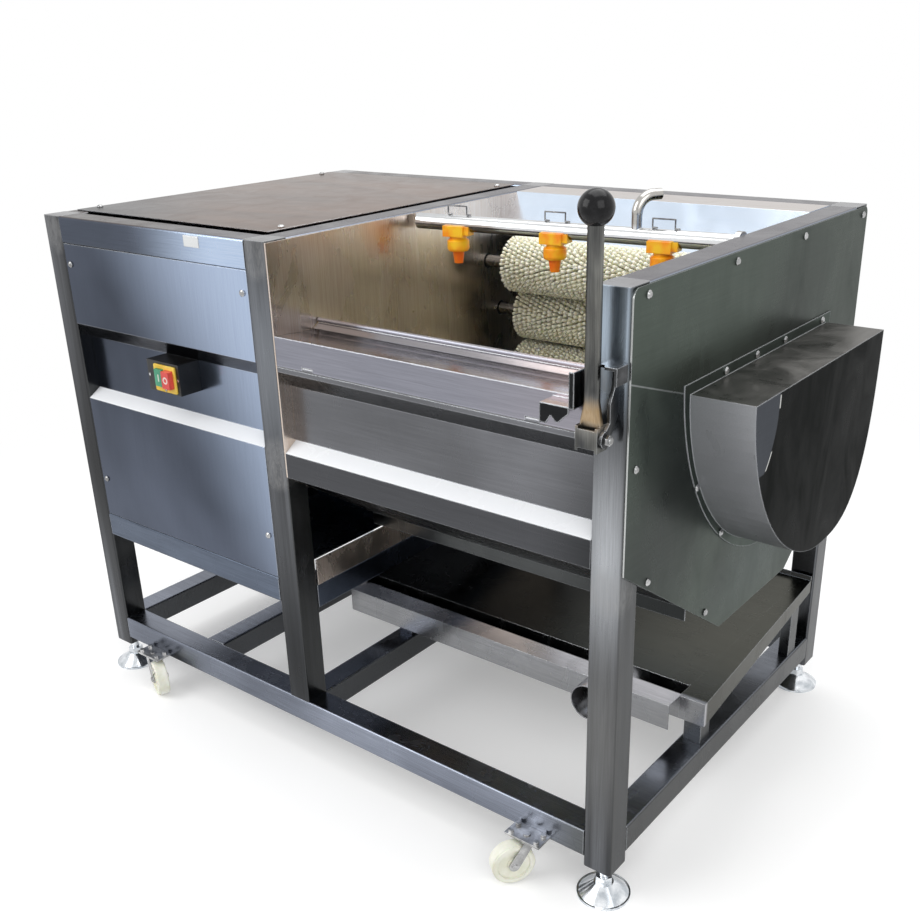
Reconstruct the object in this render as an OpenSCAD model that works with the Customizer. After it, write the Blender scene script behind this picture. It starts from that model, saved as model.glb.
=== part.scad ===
// Roller vegetable washer: stainless frame, drive cabinet, brush-roller trough, spray pipe and drain tray.
// Positions are written from the frame's front right corner: x runs left as negative, y runs back and z up
// from the posts' lower ends. The last step moves that corner so that the origin is on the floor, in the
// middle of the space that the machine takes.

/* [Frame] */
// Length of the frame along the front
frame_w = 1290; // [1200:10:1500]
// Depth of the frame
frame_d = 830; // [810:5:900]
// Height of the posts
post_h = 933; // [920:1:960]
// Side of the square tube
tube = 50; // [46:1:52]
// Wall of the square tube
tube_wall = 2; // [1.5:0.5:3]
// Outer corner radius of the square tube
tube_r = 4; // [2:0.5:6]
// Length of the trough bay, from the mid post's right face to the frame's right face
bay_w = 669; // [660:1:700]
// Height of the lower rails' undersides over the posts' ends
low_rail_z = 17; // [10:1:25]
// Height of the cabinet rails' undersides
cabinet_rail_z = 270; // [255:1:290]
// Height of the mid cross rail's underside
cross_rail_z = 250; // [240:1:270]
// Distance of the extra floor cross rail from the mid posts
floor_cross_gap = 255; // [150:5:350]

/* [Sheets] */
// Thickness of the sheet panels
sheet = 2; // [1.5:0.5:3]
// Thickness of the wall plates that carry bearings
wall_plate = 3; // [2:0.5:4]
// Set-back of the front panels from the posts' front faces
panel_inset = 1; // [0.5:0.5:3]
// Gap between a front panel and the tubes beside it
panel_gap = 0.5; // [0.3:0.1:0.9]
// Depth of the step pressed into the front panels
recess_depth = 28; // [20:1:34]
// Height where the step's upper slope starts
recess_top_z = 728; // [715:1:740]
// Height of the step's upper slope
recess_top_rise = 31; // [25:1:45]
// Height where the step's lower slope ends
recess_low_z = 575; // [560:1:590]
// Height of the step's lower slope
recess_low_rise = 17; // [10:1:25]
// Width of the top cover's margin outside the cabinet's inner edges
cover_margin = 12; // [8:1:20]
// Front edge of the top cover, measured from the frame's front
cover_front = 68; // [60:1:80]
// Rear edge of the top cover, measured from the frame's rear
cover_rear = 62; // [55:1:75]
// Radius of the end panel's top corners
panel_corner_r = 14; // [6:1:20]

/* [Trough] */
// Height of the front panel's lower edge
apron_top_z = 530; // [515:1:545]
// Distance of the apron's lower edge from the front
apron_y = 207; // [190:1:220]
// Height of the apron's lower edge
apron_low_z = 392; // [380:1:400]
// Drop of the stiffening lip on the apron's lower edge
apron_lip = 24; // [15:1:30]
// Height of the end walls' lowest edges
trough_low_z = 303; // [295:1:320]
// Distance from the front where the end walls' lowest edges start
trough_low_y = 330; // [320:1:345]
// Distance from the front where the end walls' lowest edges end
trough_low_end_y = 600; // [560:5:640]
// Height of the end walls' rear edges where they turn under
trough_rear_z = 460; // [440:5:480]
// Distance of the rear sheet's bent edge from the front
rear_edge_y = 690; // [680:1:700]
// Width of the rear sheet's slope, seen from above
rear_slope_y = 54; // [45:1:58]
// Height of the rear sheet's slope
rear_slope_z = 76; // [70:1:82]
// Distance of the rear sheet's upright part from the front
rear_wall_y = 712; // [706:1:725]
// Height where the rear sheet's upright part starts
rear_wall_top_z = 795; // [785:1:805]
// Height where the rear sheet turns forwards under the rollers
rear_wall_low_z = 495; // [480:1:505]
// Distance of the rear sheet's lower edge from the front
rear_low_y = 480; // [460:1:500]
// Height of the rear sheet's lower edge
rear_low_z = 335; // [325:1:345]

/* [Rollers] */
// Number of rollers along the trough curve
curve_rollers = 7; // [7]
// Distance between neighbouring roller axes
roller_pitch = 112; // [112:0.5:113.5]
// Radius over the bristle tips
brush_r = 55; // [53:0.5:55.5]
// Radius of the nylon sleeve that holds the tufts
sleeve_r = 27; // [24:1:30]
// Bore radius of the nylon sleeve
sleeve_bore = 22; // [18:1:22]
// Radius of the roller shafts
shaft_r = 12; // [10:0.5:13]
// Length of the brushed sleeve
brush_l = 538; // [500:2:540]
// Gap between the brush and the frame's right face
brush_right_gap = 62; // [56:1:75]
// Number of tufts in one ring
tufts_round = 6; // [5:1:7]
// Number of rings of tufts
tuft_rings = 10; // [8:1:10]
// Width of a tuft at its root
tuft_root = 9; // [6:0.5:10]
// Width of a tuft at its tip
tuft_tip = 6; // [4:0.5:8]
// Turn from one ring of tufts to the next
tuft_turn = 34; // [20:1:40]
// Depth that a tuft is set into the sleeve
tuft_set = 3; // [2:0.5:4]
// Height where the trough curve starts and ends
curve_top_z = 752; // [745:1:760]
// Depth of the trough curve below its ends
curve_depth = 281; // [278:1:284]
// Distance of the curve's lowest point from the front
curve_mid_y = 480; // [475:1:485]
// Reach of the curve towards the front
curve_front = 267; // [264:1:270]
// Reach of the curve towards the rear
curve_rear = 150; // [146:1:152]
// Roundness of the curve's front half
curve_front_power = 1.8; // [1.7:0.05:1.9]
// Roundness of the curve's rear half
curve_rear_power = 3; // [2.8:0.1:3.2]
// Height of the first roller on the curve
first_roller_z = 706; // [702:1:710]
// Forward lean of the top roller over the first one
top_roller_lean = 22; // [20:1:25]

/* [Drive] */
// Radius of the bearing housings
bearing_r = 30; // [28:1:34]
// Thickness of the bearing housings
bearing_t = 20; // [16:1:24]
// Side of the bearings' square flanges
bearing_flange = 64; // [60:1:70]
// Thickness of the bearings' flanges
bearing_flange_t = 7; // [5:1:9]
// Running clearance on radius between shaft and bearing
run_gap = 0.1; // [0.05:0.01:0.1]
// Clearance on radius where a shaft passes a sheet
pass_gap = 3; // [2:0.5:4]
// Groove radius of the pulleys
pulley_r = 24; // [20:1:26]
// Height of the pulley flanges over the groove
pulley_lip = 6; // [5:0.5:7]
// Width of the pulley groove
groove_w = 13; // [12:0.5:16]
// Thickness of each pulley flange
pulley_side = 3; // [2:0.5:4]
// Width of the drive belts
belt_w = 11; // [9:0.5:12]
// Thickness of the drive belts
belt_t = 6; // [4:0.5:7]
// Clearance between belt and groove
belt_gap = 0.4; // [0.3:0.1:0.6]
// Distance of the loop belt from the frame's right face
loop_x = 45; // [30:1:60]
// Distance of the transfer belt from the partition
transfer_x = 58; // [50:1:70]
// Distance of the motor belt from the partition
motor_belt_x = 90; // [85:1:110]
// Radius of the motor body
motor_r = 80; // [70:1:90]
// Length of the motor body
motor_l = 230; // [200:5:260]
// Distance of the motor axis from the front
motor_y = 420; // [400:5:440]
// Height of the motor axis over the cabinet floor
motor_axis_h = 112; // [105:1:120]
// Groove radius of the motor pulley
motor_pulley_r = 30; // [26:1:36]
// Radius of the motor shaft
motor_shaft_r = 12; // [10:1:14]
// Number of cooling fins round the motor
motor_fins = 28; // [20:2:32]

/* [Guard] */
// Depth of the D-shaped guard
guard_depth = 102; // [95:1:110]
// Height of the guard's flat top
guard_top_z = 752; // [748:1:756]
// Space between the roller curve and the guard's rim
guard_space = 44; // [42:1:46]
// Width of the guard's screwed flange
guard_flange = 17; // [14:1:20]
// Number of straight parts along the guard's rim
guard_steps = 48; // [36:4:60]

/* [Gate and lever] */
// Height of the gate ledge's front edge
gate_z = 781; // [775:1:785]
// Height of the gate's front band
gate_band = 52; // [48:1:54]
// Depth of the gate ledge
gate_depth = 104; // [95:1:110]
// Depth from the gate's front edge to its crease
gate_crease = 64; // [55:1:70]
// Drop of the ledge's crease below its front edge
gate_drop = 6; // [3:1:9]
// Rise of the rolled rear lip over the crease
gate_lip = 14; // [8:1:18]
// Distance of the gate's right end from the frame's right face
gate_right = 60; // [60:1:70]
// Gap between the gate and the mid post
gate_left_gap = 2; // [1:0.5:4]
// Depth of the gate's end cheek
cheek_d = 42; // [38:1:46]
// Height of the end cheek over the gate's front edge
cheek_rise = 42; // [34:1:46]
// Width of the fold along the end cheek's front
cheek_fold = 8; // [4:1:10]
// Width of the keeper's shelf
keeper_w = 54; // [48:1:60]
// Height of the keeper's front plate
keeper_h = 28; // [24:1:30]
// Drop of the keeper's shelf below the gate's front edge
keeper_drop = 6; // [4:1:8]
// Depth of the keeper's shelf
keeper_d = 32; // [28:1:36]
// Half width of the keeper's notch
notch_w = 8; // [6:1:10]
// Height of the keeper's notch
notch_h = 12; // [9:1:14]
// Distance of the lever's axis from the frame's right face
lever_x = 34; // [33:0.5:36]
// Distance of the lever's axis in front of the posts
lever_y = 30; // [28:1:34]
// Height of the lever's pivot
lever_pivot_z = 740; // [735:1:745]
// Radius of the lever bar
lever_r = 10.5; // [9:0.5:11]
// Height of the ball's centre
ball_z = 1031; // [1015:1:1045]
// Radius of the ball knob
ball_r = 23; // [20:0.5:25]
// Height of the flattened lower end over the pivot
fishtail_h = 48; // [40:1:56]
// Width of the clevis over its cheeks
clevis_w = 34; // [32:1:36]
// Depth of the clevis cheeks
clevis_d = 26; // [22:1:30]
// Height of the clevis
clevis_h = 34; // [30:1:38]
// Thickness of the clevis cheeks
clevis_t = 4; // [3:0.5:5]
// Radius of the pivot bolt
bolt_r = 5; // [4:0.5:6]
// Thickness of the S-shaped lug
lug_t = 5; // [4:0.5:5.5]
// Side clearance of the lever between bolt head and lug
lever_gap = 0.5; // [0.3:0.1:0.8]
// Reach of the S-shaped lug from the post at its neck
lug_neck = 10; // [8:1:12]
// Reach of the S-shaped lug from the post at its belly
lug_belly = 21; // [19:1:24]
// Width of the stop bracket behind the lever
stop_w = 30; // [26:1:34]
// Depth of the stop bracket beside the lever
stop_d = 27; // [23:1:30]
// Height of the stop bracket's side
stop_h = 24; // [20:1:28]
// Height of the stop bracket's top
stop_z = 836; // [828:1:842]

/* [Spray pipe] */
// Radius of the spray pipe
pipe_r = 14; // [12:0.5:15]
// Distance of the spray pipe from the front, at the frame's right side
pipe_y = 427; // [422:1:430]
// Depth of the spray pipe's axis below the top of the posts
pipe_drop = 14.5; // [14.5:0.5:17]
// Turn of the spray pipe, which brings its capped end forwards
pipe_yaw = 5.6; // [4:0.1:6.5]
// Gap between the pipe's capped end and the partition
pipe_end_gap = 10; // [8:1:20]
// Wall of the spray pipe
pipe_wall = 2; // [1.5:0.5:3]
// Distance of the first nozzle from the frame's right face
nozzle_x = 181; // [175:1:190]
// Spacing of the nozzles
nozzle_pitch = 197; // [190:1:200]
// Width of a nozzle clamp
nozzle_w = 42; // [36:1:46]
// Radius of the nozzle's ball nut
nozzle_r = 20; // [17:0.5:22]
// Length of the nozzle tip
tip_l = 22; // [18:1:26]
// Distance of the inlet elbow from the frame's right face
inlet_x = 228; // [225:1:240]
// Radius of the inlet pipe
inlet_r = 9; // [8:0.5:10]
// Bend radius of the inlet pipe
inlet_bend = 28; // [24:1:34]

/* [Switch] */
// Width of the switch box
switch_w = 90; // [84:1:96]
// Height of the switch box
switch_h = 58; // [54:1:62]
// Depth of the switch box in front of the door's step
switch_d = 46; // [42:1:50]
// Distance of the switch box's right side from the frame's right face
switch_x = 910; // [890:1:930]
// Height of the switch box's underside
switch_z = 639; // [620:1:645]
// Thickness of the switch's yellow face
face_t = 3; // [2:0.5:4]
// Width of the switch's yellow face
face_w = 60; // [56:1:62]
// Height of the switch's yellow face
face_h = 50; // [46:1:51]
// Width of the switch box's black margin right of the face
face_right = 8; // [7:1:10]
// Width of a push button
button_w = 21; // [18:1:22]
// Height of a push button
button_h = 32; // [28:1:33]
// Height of the start button over the face
start_rise = 5; // [5:0.5:7]
// Height of the stop button over the face
stop_rise = 10; // [8:0.5:12]
// Travel of a push button
button_travel = 4; // [3:0.5:5]
// Clearance round a push button
button_gap = 0.5; // [0.4:0.1:0.8]

/* [Drain tray] */
// Overhang of the tray beyond the mid posts
tray_over = 93; // [80:1:110]
// Distance of the tray's front from the frame's front
tray_y = 278; // [270:1:290]
// Space between the tray's rear edge and the back of the frame
tray_rear_gap = 56; // [52:1:70]
// Height of the tray's front edge
tray_z = 150; // [145:1:155]
// Rise of the tray's floor to the rear
tray_rise = 50; // [40:1:60]
// Depth of the tray's front trough
tray_depth = 48; // [42:1:52]
// Width of the flange along the tray's front
tray_flange = 42; // [36:1:46]
// Width of the tray's gutter behind the flange
gutter_w = 32; // [28:1:36]
// Width of the side box along the tray's right end
side_box = 50; // [44:1:50]
// Width of the side box at the tray's rear end
side_box_rear = 21; // [16:1:26]
// Height of the side box at the tray's rear end
side_box_rear_h = 24; // [18:1:28]
// Gap between the side box and the frame's right face
side_gap = 3; // [2:1:6]
// Height of the turned-up lips of the tray
tray_lip = 12; // [8:1:16]
// Side of the blocks that carry the tray
block = 33; // [28:1:36]
// Space between the rear blocks and the rear posts
block_gap = 59; // [40:1:80]
// Length of the sump under the gutter
sump_l = 90; // [80:1:110]
// Radius of the drain spout
spout_r = 35; // [32:1:36]
// Wall of the drain spout
spout_wall = 2; // [1.5:0.5:3]
// Distance of the spout's axis from the frame's right face
spout_x = 204; // [160:1:230]
// Length of the spout in front of the gutter
spout_l = 68; // [55:1:90]

/* [Feet and casters] */
// Height of the posts' lower ends over the floor
foot_h = 61; // [58:1:70]
// Radius of a levelling foot
foot_r = 44; // [38:1:46]
// Height of the foot's dome
foot_dome = 24; // [20:1:28]
// Radius of the foot's stem
stem_r = 8; // [7:0.5:9]
// Length of the stem inside the post
stem_in = 30; // [20:1:40]
// Thickness of the threaded plate in the post's lower end
foot_plate = 8; // [6:1:10]
// Clearance on radius round the stem
stem_gap = 0.1; // [0.05:0.01:0.1]
// Radius of a caster wheel
wheel_r = 37; // [34:0.5:37]
// Width of a caster wheel
wheel_w = 24; // [20:1:26]
// Distance of the wheel's axle from the swivel axis
caster_trail = 26; // [22:1:28]
// Length of a caster plate
plate_l = 68; // [64:1:74]
// Depth of a caster plate
plate_d = 36; // [34:1:40]
// Thickness of a caster plate
plate_t = 4; // [3:0.5:5]
// Distance of the right caster from the frame's right face
caster_right = 146; // [140:1:160]
// Distance of the left caster from the frame's left face
caster_left = 160; // [150:1:180]
// Clearance on radius round a wheel axle
axle_gap = 0.1; // [0.05:0.01:0.1]

/* [Screws] */
// Radius of a screw head
screw_r = 6; // [5:0.5:7]
// Height of a screw head
screw_h = 4; // [3:0.5:5]

/* [Hidden] */
$fn = 48;
eps = 0.01;
mid_r = -bay_w;                 // right face of the mid posts
mid_l = -bay_w - tube;          // left face of the mid posts
left_in = -frame_w + tube;      // right face of the left posts
rear_in = frame_d - tube;       // front face of the rear posts
top_rail_z = post_h - tube;
low_rail_top = low_rail_z + tube;
cab_floor_z = cabinet_rail_z + tube;
partition_x = mid_r;            // left face of the partition plate
brush_x = -brush_right_gap - brush_l;

cross_top = cross_rail_z + tube;
door_l = left_in + panel_gap;
door_r = mid_l - panel_gap;
trough_l = mid_r + wall_plate;  // right face of the partition plate
strip_z = cross_top + tube;     // top of the closing strip over the mid cross rail
strip_y = apron_y + (apron_low_z - strip_z) / (apron_low_z - trough_low_z) * (trough_low_y - apron_y);
gate_low = gate_z - gate_band;
gate_l = trough_l + gate_left_gap;
gate_bead = 4;                  // radius of the rolled bead on the gate's hinge edge
gate_play = 0.4;                // clearance between that bead and the panel below
gate_pin = 2;                   // radius of the hinge pin in that bead
knuckle_w = 24;                 // length of a hinge knuckle on the panel
knuckles = [gate_l + 60, -gate_right - 100];
bead_r = 4;                     // radius of the rolled bead on the gate's rear edge
front_step_z = recess_top_z - 8;
panel_flange = 34;              // depth of the front panel's top flange
door_back = recess_depth;
plate_w = 39;                   // blank header plate
plate_h = 19;
plate_x = 870;
plate_z = post_h - 24;
half = 0.5;
side_play = 0.3;
caster_y = -19;                 // swivel axis, in front of the frame
caster_l_x = -frame_w + caster_left;
caster_r_x = -caster_right;
yaw_l = -22;                    // turn of the casters, as they were left
yaw_r = -127;
tread_bevel = 2;
front_reach = -caster_y - caster_trail * sin(yaw_r) - wheel_r * sin(yaw_r)
    - (wheel_w / 2 - tread_bevel) * cos(yaw_r);
rear_reach = frame_d - tube / 2 + foot_r;
left_reach = frame_w - tube / 2 + foot_r;
right_reach = wall_plate + guard_depth;

// Point of the trough curve at an angle, grown outwards and with its top lowered by a drop
function curve_point(a, grow = 0, drop = 0) = let(c = cos(a), s = sin(a), rear = c >= 0,
    power = rear ? curve_rear_power : curve_front_power, reach = (rear ? curve_rear : curve_front) + grow)
    [curve_mid_y + sign(c) * reach * pow(abs(c), 2 / power),
     curve_top_z - drop - (curve_depth + grow - drop) * pow(abs(s), 2 / power)];
// First angle past a, in small steps, whose point lies one pitch from the given point
function next_angle(a, from) = norm(curve_point(a) - from) >= roller_pitch ? a : next_angle(a + 0.02, from);
// Roller axes stepped along the curve at one pitch
function step_axes(n, a) = n == 0 ? [] :
    concat([curve_point(a)], step_axes(n - 1, next_angle(a, curve_point(a))));
first_angle = asin(pow((curve_top_z - first_roller_z) / curve_depth, curve_rear_power / 2));
curve_axes = step_axes(curve_rollers, first_angle);
top_axis = curve_axes[0] + roller_pitch * [-sin(top_roller_lean), cos(top_roller_lean)];
axes = concat([top_axis], curve_axes);  // roller 1 is the top one, roller 2 the first on the curve
function guard_rim(grow, drop) = [for (i = [0:guard_steps]) curve_point(180 * i / guard_steps, grow, drop)];

// Ribbon of sheet along a path, thickened to the left of the way it runs
function side(a, b) = let(d = (b - a) / norm(b - a)) [-d[1], d[0]];
function miter(p, i, t) = i == 0 ? side(p[0], p[1]) * t :
    i == len(p) - 1 ? side(p[i - 1], p[i]) * t :
    let(m = side(p[i - 1], p[i]), n = side(p[i], p[i + 1])) (m + n) * t / (1 + m * n);
module ribbon(p, t) polygon(concat(p, [for (i = [len(p) - 1:-1:0]) p[i] + miter(p, i, t)]));

// Moves the working corner so that the origin is on the floor, in the middle
module place() translate([(left_reach - right_reach) / 2, (front_reach - rear_reach) / 2, foot_h])
    children();
// Profile in depth and height, drawn out along the machine
module along(x0, x1) translate([x0, 0, 0]) rotate([90, 0, 90]) linear_extrude(x1 - x0) children();
module round_rect(w, h, r) {
    translate([r, 0]) square([w - 2 * r, h]);
    translate([0, r]) square([w, h - 2 * r]);
    for (x = [r, w - r], y = [r, h - r]) translate([x, y]) circle(r);
}
module round_square(w, r) round_rect(w, w, r);
module tube_section() difference() {
    round_square(tube, tube_r);
    translate([tube_wall, tube_wall]) round_square(tube - 2 * tube_wall, max(tube_r - tube_wall, half));
}
module tube_along(x0, x1, y, z)
    translate([x0, y, z]) rotate([90, 0, 90]) linear_extrude(x1 - x0) tube_section();
module tube_deep(x, y0, y1, z)
    translate([x, y1, z]) rotate([90, 0, 0]) linear_extrude(y1 - y0) tube_section();
module box(x0, x1, y0, y1, z0, z1) translate([x0, y0, z0]) cube([x1 - x0, y1 - y0, z1 - z0]);
// Round bar along the machine, about an axis given in depth and height
module rod(x0, x1, at, r) translate([x0, at[0], at[1]]) rotate([0, 90, 0]) cylinder(r = r, h = x1 - x0);
module rod_deep(x, y0, y1, z, r) translate([x, y1, z]) rotate([90, 0, 0]) cylinder(r = r, h = y1 - y0);

module corner_post(x, y) translate([x, y, 0]) difference() {
    linear_extrude(post_h) round_square(tube, tube_r);
    translate([tube_wall, tube_wall, foot_plate]) linear_extrude(post_h - foot_plate - tube_wall)
        round_square(tube - 2 * tube_wall, max(tube_r - tube_wall, half));
    translate([tube / 2, tube / 2, -eps]) cylinder(r = stem_r + stem_gap, h = foot_plate + 2 * eps);
}
module mid_post(y) translate([mid_l, y, low_rail_top]) difference() {
    linear_extrude(post_h - low_rail_top) round_square(tube, tube_r);
    translate([tube_wall, tube_wall, -eps]) linear_extrude(post_h - low_rail_top - tube_wall)
        round_square(tube - 2 * tube_wall, max(tube_r - tube_wall, half));
}
tab_w = 26;                     // tabs behind the door's corners, which take its screws
tab_h = 24;
tab_y = panel_inset + sheet;
door_screws = [top_rail_z - 39, cab_floor_z + 82];
module posts() color("lightslategray") place() {
    for (x = [-frame_w, -tube], y = [0, rear_in]) corner_post(x, y);
    for (y = [0, rear_in]) mid_post(y);
    for (z = door_screws) {
        box(left_in - half, left_in + tab_w, tab_y, tab_y + sheet, z - tab_h / 2, z + tab_h / 2);
        box(mid_l - tab_w, mid_l + half, tab_y, tab_y + sheet, z - tab_h / 2, z + tab_h / 2);
    }
}
module top_rails() color("lightslategray") place() {
    for (y = [0, rear_in]) tube_along(left_in, mid_l, y, top_rail_z);
    tube_along(mid_r, -tube, rear_in, top_rail_z);
    for (x = [-frame_w, mid_l, -tube]) tube_deep(x, tube, rear_in, top_rail_z);
    box(-plate_x, -plate_x + plate_w, -panel_inset, 0, plate_z, plate_z + plate_h);
}
module cabinet_rails() color("slategray") place() {
    for (y = [0, rear_in]) tube_along(left_in, mid_l, y, cabinet_rail_z);
    tube_deep(-frame_w, tube, rear_in, cabinet_rail_z);
    tube_deep(mid_l, tube, rear_in, cross_rail_z);
}
module floor_rails() color("slategray") place() {
    for (y = [0, rear_in]) tube_along(left_in, -tube, y, low_rail_z);
    for (x = [-frame_w, mid_l - floor_cross_gap - tube, mid_l, -tube])
        tube_deep(x, tube, rear_in, low_rail_z);
}
module top_cover() color("silver") place()
    box(-frame_w + cover_margin, mid_l - cover_margin, cover_front, frame_d - cover_rear,
        post_h, post_h + sheet);
module cabinet_door() color("gainsboro") place() along(door_l, door_r) ribbon([
    [panel_inset, top_rail_z - panel_gap], [panel_inset, recess_top_z],
    [door_back, recess_top_z - recess_top_rise], [door_back, recess_low_z + recess_low_rise],
    [panel_inset, recess_low_z], [panel_inset, cab_floor_z + panel_gap]], sheet);
module cabinet_wrap() color("silver") place() translate([0, 0, cabinet_rail_z + cover_margin])
    linear_extrude(post_h - cabinet_rail_z - 2 * cover_margin) difference() {
        translate([-frame_w - sheet, cover_margin])
            square([frame_w - bay_w - cover_margin, frame_d + sheet - cover_margin]);
        translate([-frame_w, 0]) square([frame_w, frame_d]);
    }
module cabinet_floor() color("silver") place() {
    box(left_in, mid_l, tube / 2, frame_d - tube / 2, cab_floor_z, cab_floor_z + sheet);
    box(-frame_w + tube / 2, left_in + eps, tube, rear_in, cab_floor_z, cab_floor_z + sheet);
}
module partition() color("darkgray") place() along(partition_x, trough_l) difference() {
    polygon([[panel_inset, post_h - sheet], [rear_in, post_h - sheet], [rear_in, cross_top],
        [tube, cross_top], [tube, strip_z], [strip_y, strip_z], [apron_y, apron_low_z],
        [panel_inset, apron_top_z]]);
    for (a = axes) translate(a) circle(shaft_r + pass_gap);
}
rear_top = post_h - sheet;
rear_bend = [rear_edge_y - rear_slope_y, rear_top - rear_slope_z];
rear_path = [rear_bend, [rear_wall_y, rear_wall_top_z], [rear_wall_y, rear_wall_low_z],
    [rear_low_y, rear_low_z]];
// Point on the rear sheet's slope at a height
function rear_slope(z) = [rear_edge_y - rear_slope_y * (rear_top - z) / rear_slope_z, z];
module rear_sheet() color("lightsteelblue") place() {
    along(trough_l, -tube) ribbon(concat([[rear_in, rear_top], [rear_edge_y, rear_top]], rear_path), -sheet);
    along(-tube - eps, 0) ribbon(concat([rear_slope(top_rail_z - 2 * sheet)], rear_path), -sheet);
}
// Height of the apron at a distance from the front
function apron_z(y) = apron_top_z
    - (y - panel_inset) * (apron_top_z - apron_low_z) / (apron_y - panel_inset);
panel_top = gate_low - gate_play;
apron_end = [[apron_y, apron_low_z], [apron_y, apron_low_z - apron_lip]];
gate_axis = [panel_inset + gate_bead - sheet, gate_low + gate_bead];
module front_panel() color("gainsboro") place() {
    along(trough_l, -tube) ribbon(concat([[panel_flange, panel_top], [panel_inset, panel_top],
        [panel_inset, front_step_z], [door_back, front_step_z - recess_top_rise],
        [door_back, recess_low_z + recess_low_rise], [panel_inset, recess_low_z],
        [panel_inset, apron_top_z]], apron_end), sheet);
    along(-tube - eps, 0) ribbon(concat([[tube, apron_z(tube)]], apron_end), sheet);
    for (x = knuckles) difference() {
        union() {
            rod(x, x + knuckle_w, gate_axis, gate_bead);
            box(x, x + knuckle_w, gate_axis[0], gate_axis[0] + gate_bead, panel_top - half, gate_axis[1]);
        }
        rod(x - eps, x + knuckle_w + eps, gate_axis, gate_pin + run_gap);
    }
}
panel_top_z = post_h - sheet;
panel_rear = frame_d - tube_r;
corner_z = panel_top_z - panel_corner_r;
corner_steps = 8;
// Points of a rounded corner from the given angle on, a quarter turn anticlockwise
function round_corner(c, r, from) = [for (i = [0:corner_steps]) let(a = from + 90 * i / corner_steps)
    c + r * [cos(a), sin(a)]];
module end_panel() color("dimgray") place() along(0, wall_plate) difference() {
    polygon(concat(round_corner([panel_rear - panel_corner_r, corner_z], panel_corner_r, 0),
        round_corner([tube_r + panel_corner_r, corner_z], panel_corner_r, 90), [[tube_r, apron_top_z],
        [trough_low_y, trough_low_z], [trough_low_end_y, trough_low_z], [panel_rear, trough_rear_z]]));
    for (a = curve_axes) translate(a) circle(shaft_r + pass_gap);
}
module drive_guard() color("dimgray") place() difference() {
    union() {
        along(wall_plate, wall_plate + guard_depth) polygon(guard_rim(guard_space, 0));
        along(wall_plate, wall_plate + sheet) polygon(guard_rim(guard_space + guard_flange, -guard_flange));
    }
    along(wall_plate - eps, wall_plate + guard_depth - sheet) polygon(guard_rim(guard_space - sheet, sheet));
}
gate_face = gate_axis[0] - gate_bead;
gate_path = [[gate_depth, gate_z - gate_drop + gate_lip - bead_r],
    [gate_depth - gate_lip, gate_z - gate_drop + half], [gate_crease, gate_z - gate_drop],
    [gate_face, gate_z], [gate_face, gate_axis[1]]];
module gate() color("silver") place() {
    difference() {
        union() {
            along(gate_l, -gate_right) ribbon(gate_path, sheet);
            rod(gate_l, -gate_right, [gate_depth - half, gate_z - gate_drop + gate_lip - 1], bead_r);
            rod(gate_l, -gate_right, gate_axis, gate_bead);
            cheek();
            keeper();
        }
        for (x = knuckles) box(x - gate_play, x + knuckle_w + gate_play, gate_face - half,
            gate_axis[0] + 2 * gate_bead, gate_low - half, gate_axis[1] + gate_bead + gate_play);
    }
    rod(knuckles[0] - gate_pin, knuckles[1] + knuckle_w + gate_pin, gate_axis, gate_pin);
}
// The gate's right end has an upright cheek, with a notched keeper in front of the gate beside it
keeper_z = gate_z - keeper_drop;
keeper_y = gate_face - keeper_d;
module cheek_plate(w, d)
    box(-gate_right - w, -gate_right, keeper_y, keeper_y + d, keeper_z - sheet, gate_z + cheek_rise);
module cheek() {
    cheek_plate(sheet, cheek_d);
    cheek_plate(cheek_fold, sheet);
}
module keeper() {
    right = -gate_right;
    left = right - keeper_w;
    low = keeper_z - keeper_h;
    plate_right = right - cheek_fold;
    notch = left + keeper_w / 3;
    lobe = low + notch_h / 3;
    box(left, right, keeper_y, gate_face + half, keeper_z - sheet, keeper_z);
    translate([0, keeper_y + sheet, 0]) rotate([90, 0, 0]) linear_extrude(sheet) polygon([
        [left, keeper_z], [plate_right, keeper_z], [plate_right, keeper_z - keeper_h / 3],
        [notch + notch_w * 3 / 2, lobe], [notch + notch_w, lobe], [notch, low + notch_h],
        [notch - notch_w, low], [left, low]]);
}
lever_at = [-lever_y, lever_pivot_z];
cheek_l = -lever_x - clevis_w / 2;
cheek_r = -lever_x + clevis_w / 2;
lug_l = cheek_r + lever_gap;
lug_r = lug_l + lug_t;
clevis_low = lever_pivot_z - clevis_h / 2;
clevis_front = -lever_y - clevis_d / 2;
tail_low = lever_pivot_z + bolt_r + 4;
bolt_head_h = 4.5;
nut_h = 6;
bolt_hex = 8;
module lever_arm() color("gray") place() {
    translate([-lever_x, -lever_y, lever_pivot_z + fishtail_h]) cylinder(r = lever_r,
        h = ball_z - lever_pivot_z - fishtail_h - ball_r / 2);
    hull() {
        translate([-lever_x, -lever_y, lever_pivot_z + fishtail_h]) cylinder(r = lever_r, h = 1, $fn = 32);
        box(cheek_l + half, cheek_r - half, -lever_y - clevis_t, -lever_y + clevis_t,
            tail_low, tail_low + clevis_t);
    }
    difference() {
        union() {
            for (x = [cheek_l, cheek_r - clevis_t])
                box(x, x + clevis_t, clevis_front, clevis_front + clevis_d,
                    clevis_low, clevis_low + clevis_h);
            box(cheek_l + eps, cheek_r - eps, clevis_front, clevis_front + clevis_t,
                clevis_low + clevis_t, clevis_low + clevis_h - clevis_t);
        }
        rod(cheek_l - eps, cheek_r + eps, lever_at, bolt_r + run_gap);
    }
}
module lever_knob() color("black") place() translate([-lever_x, -lever_y, ball_z]) difference() {
    sphere(ball_r);
    translate([0, 0, -ball_r]) cylinder(r = lever_r, h = ball_r / 2);
    translate([0, 0, -ball_r - bolt_r]) cylinder(r = ball_r, h = bolt_r + ball_r / 10);
}
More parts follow.
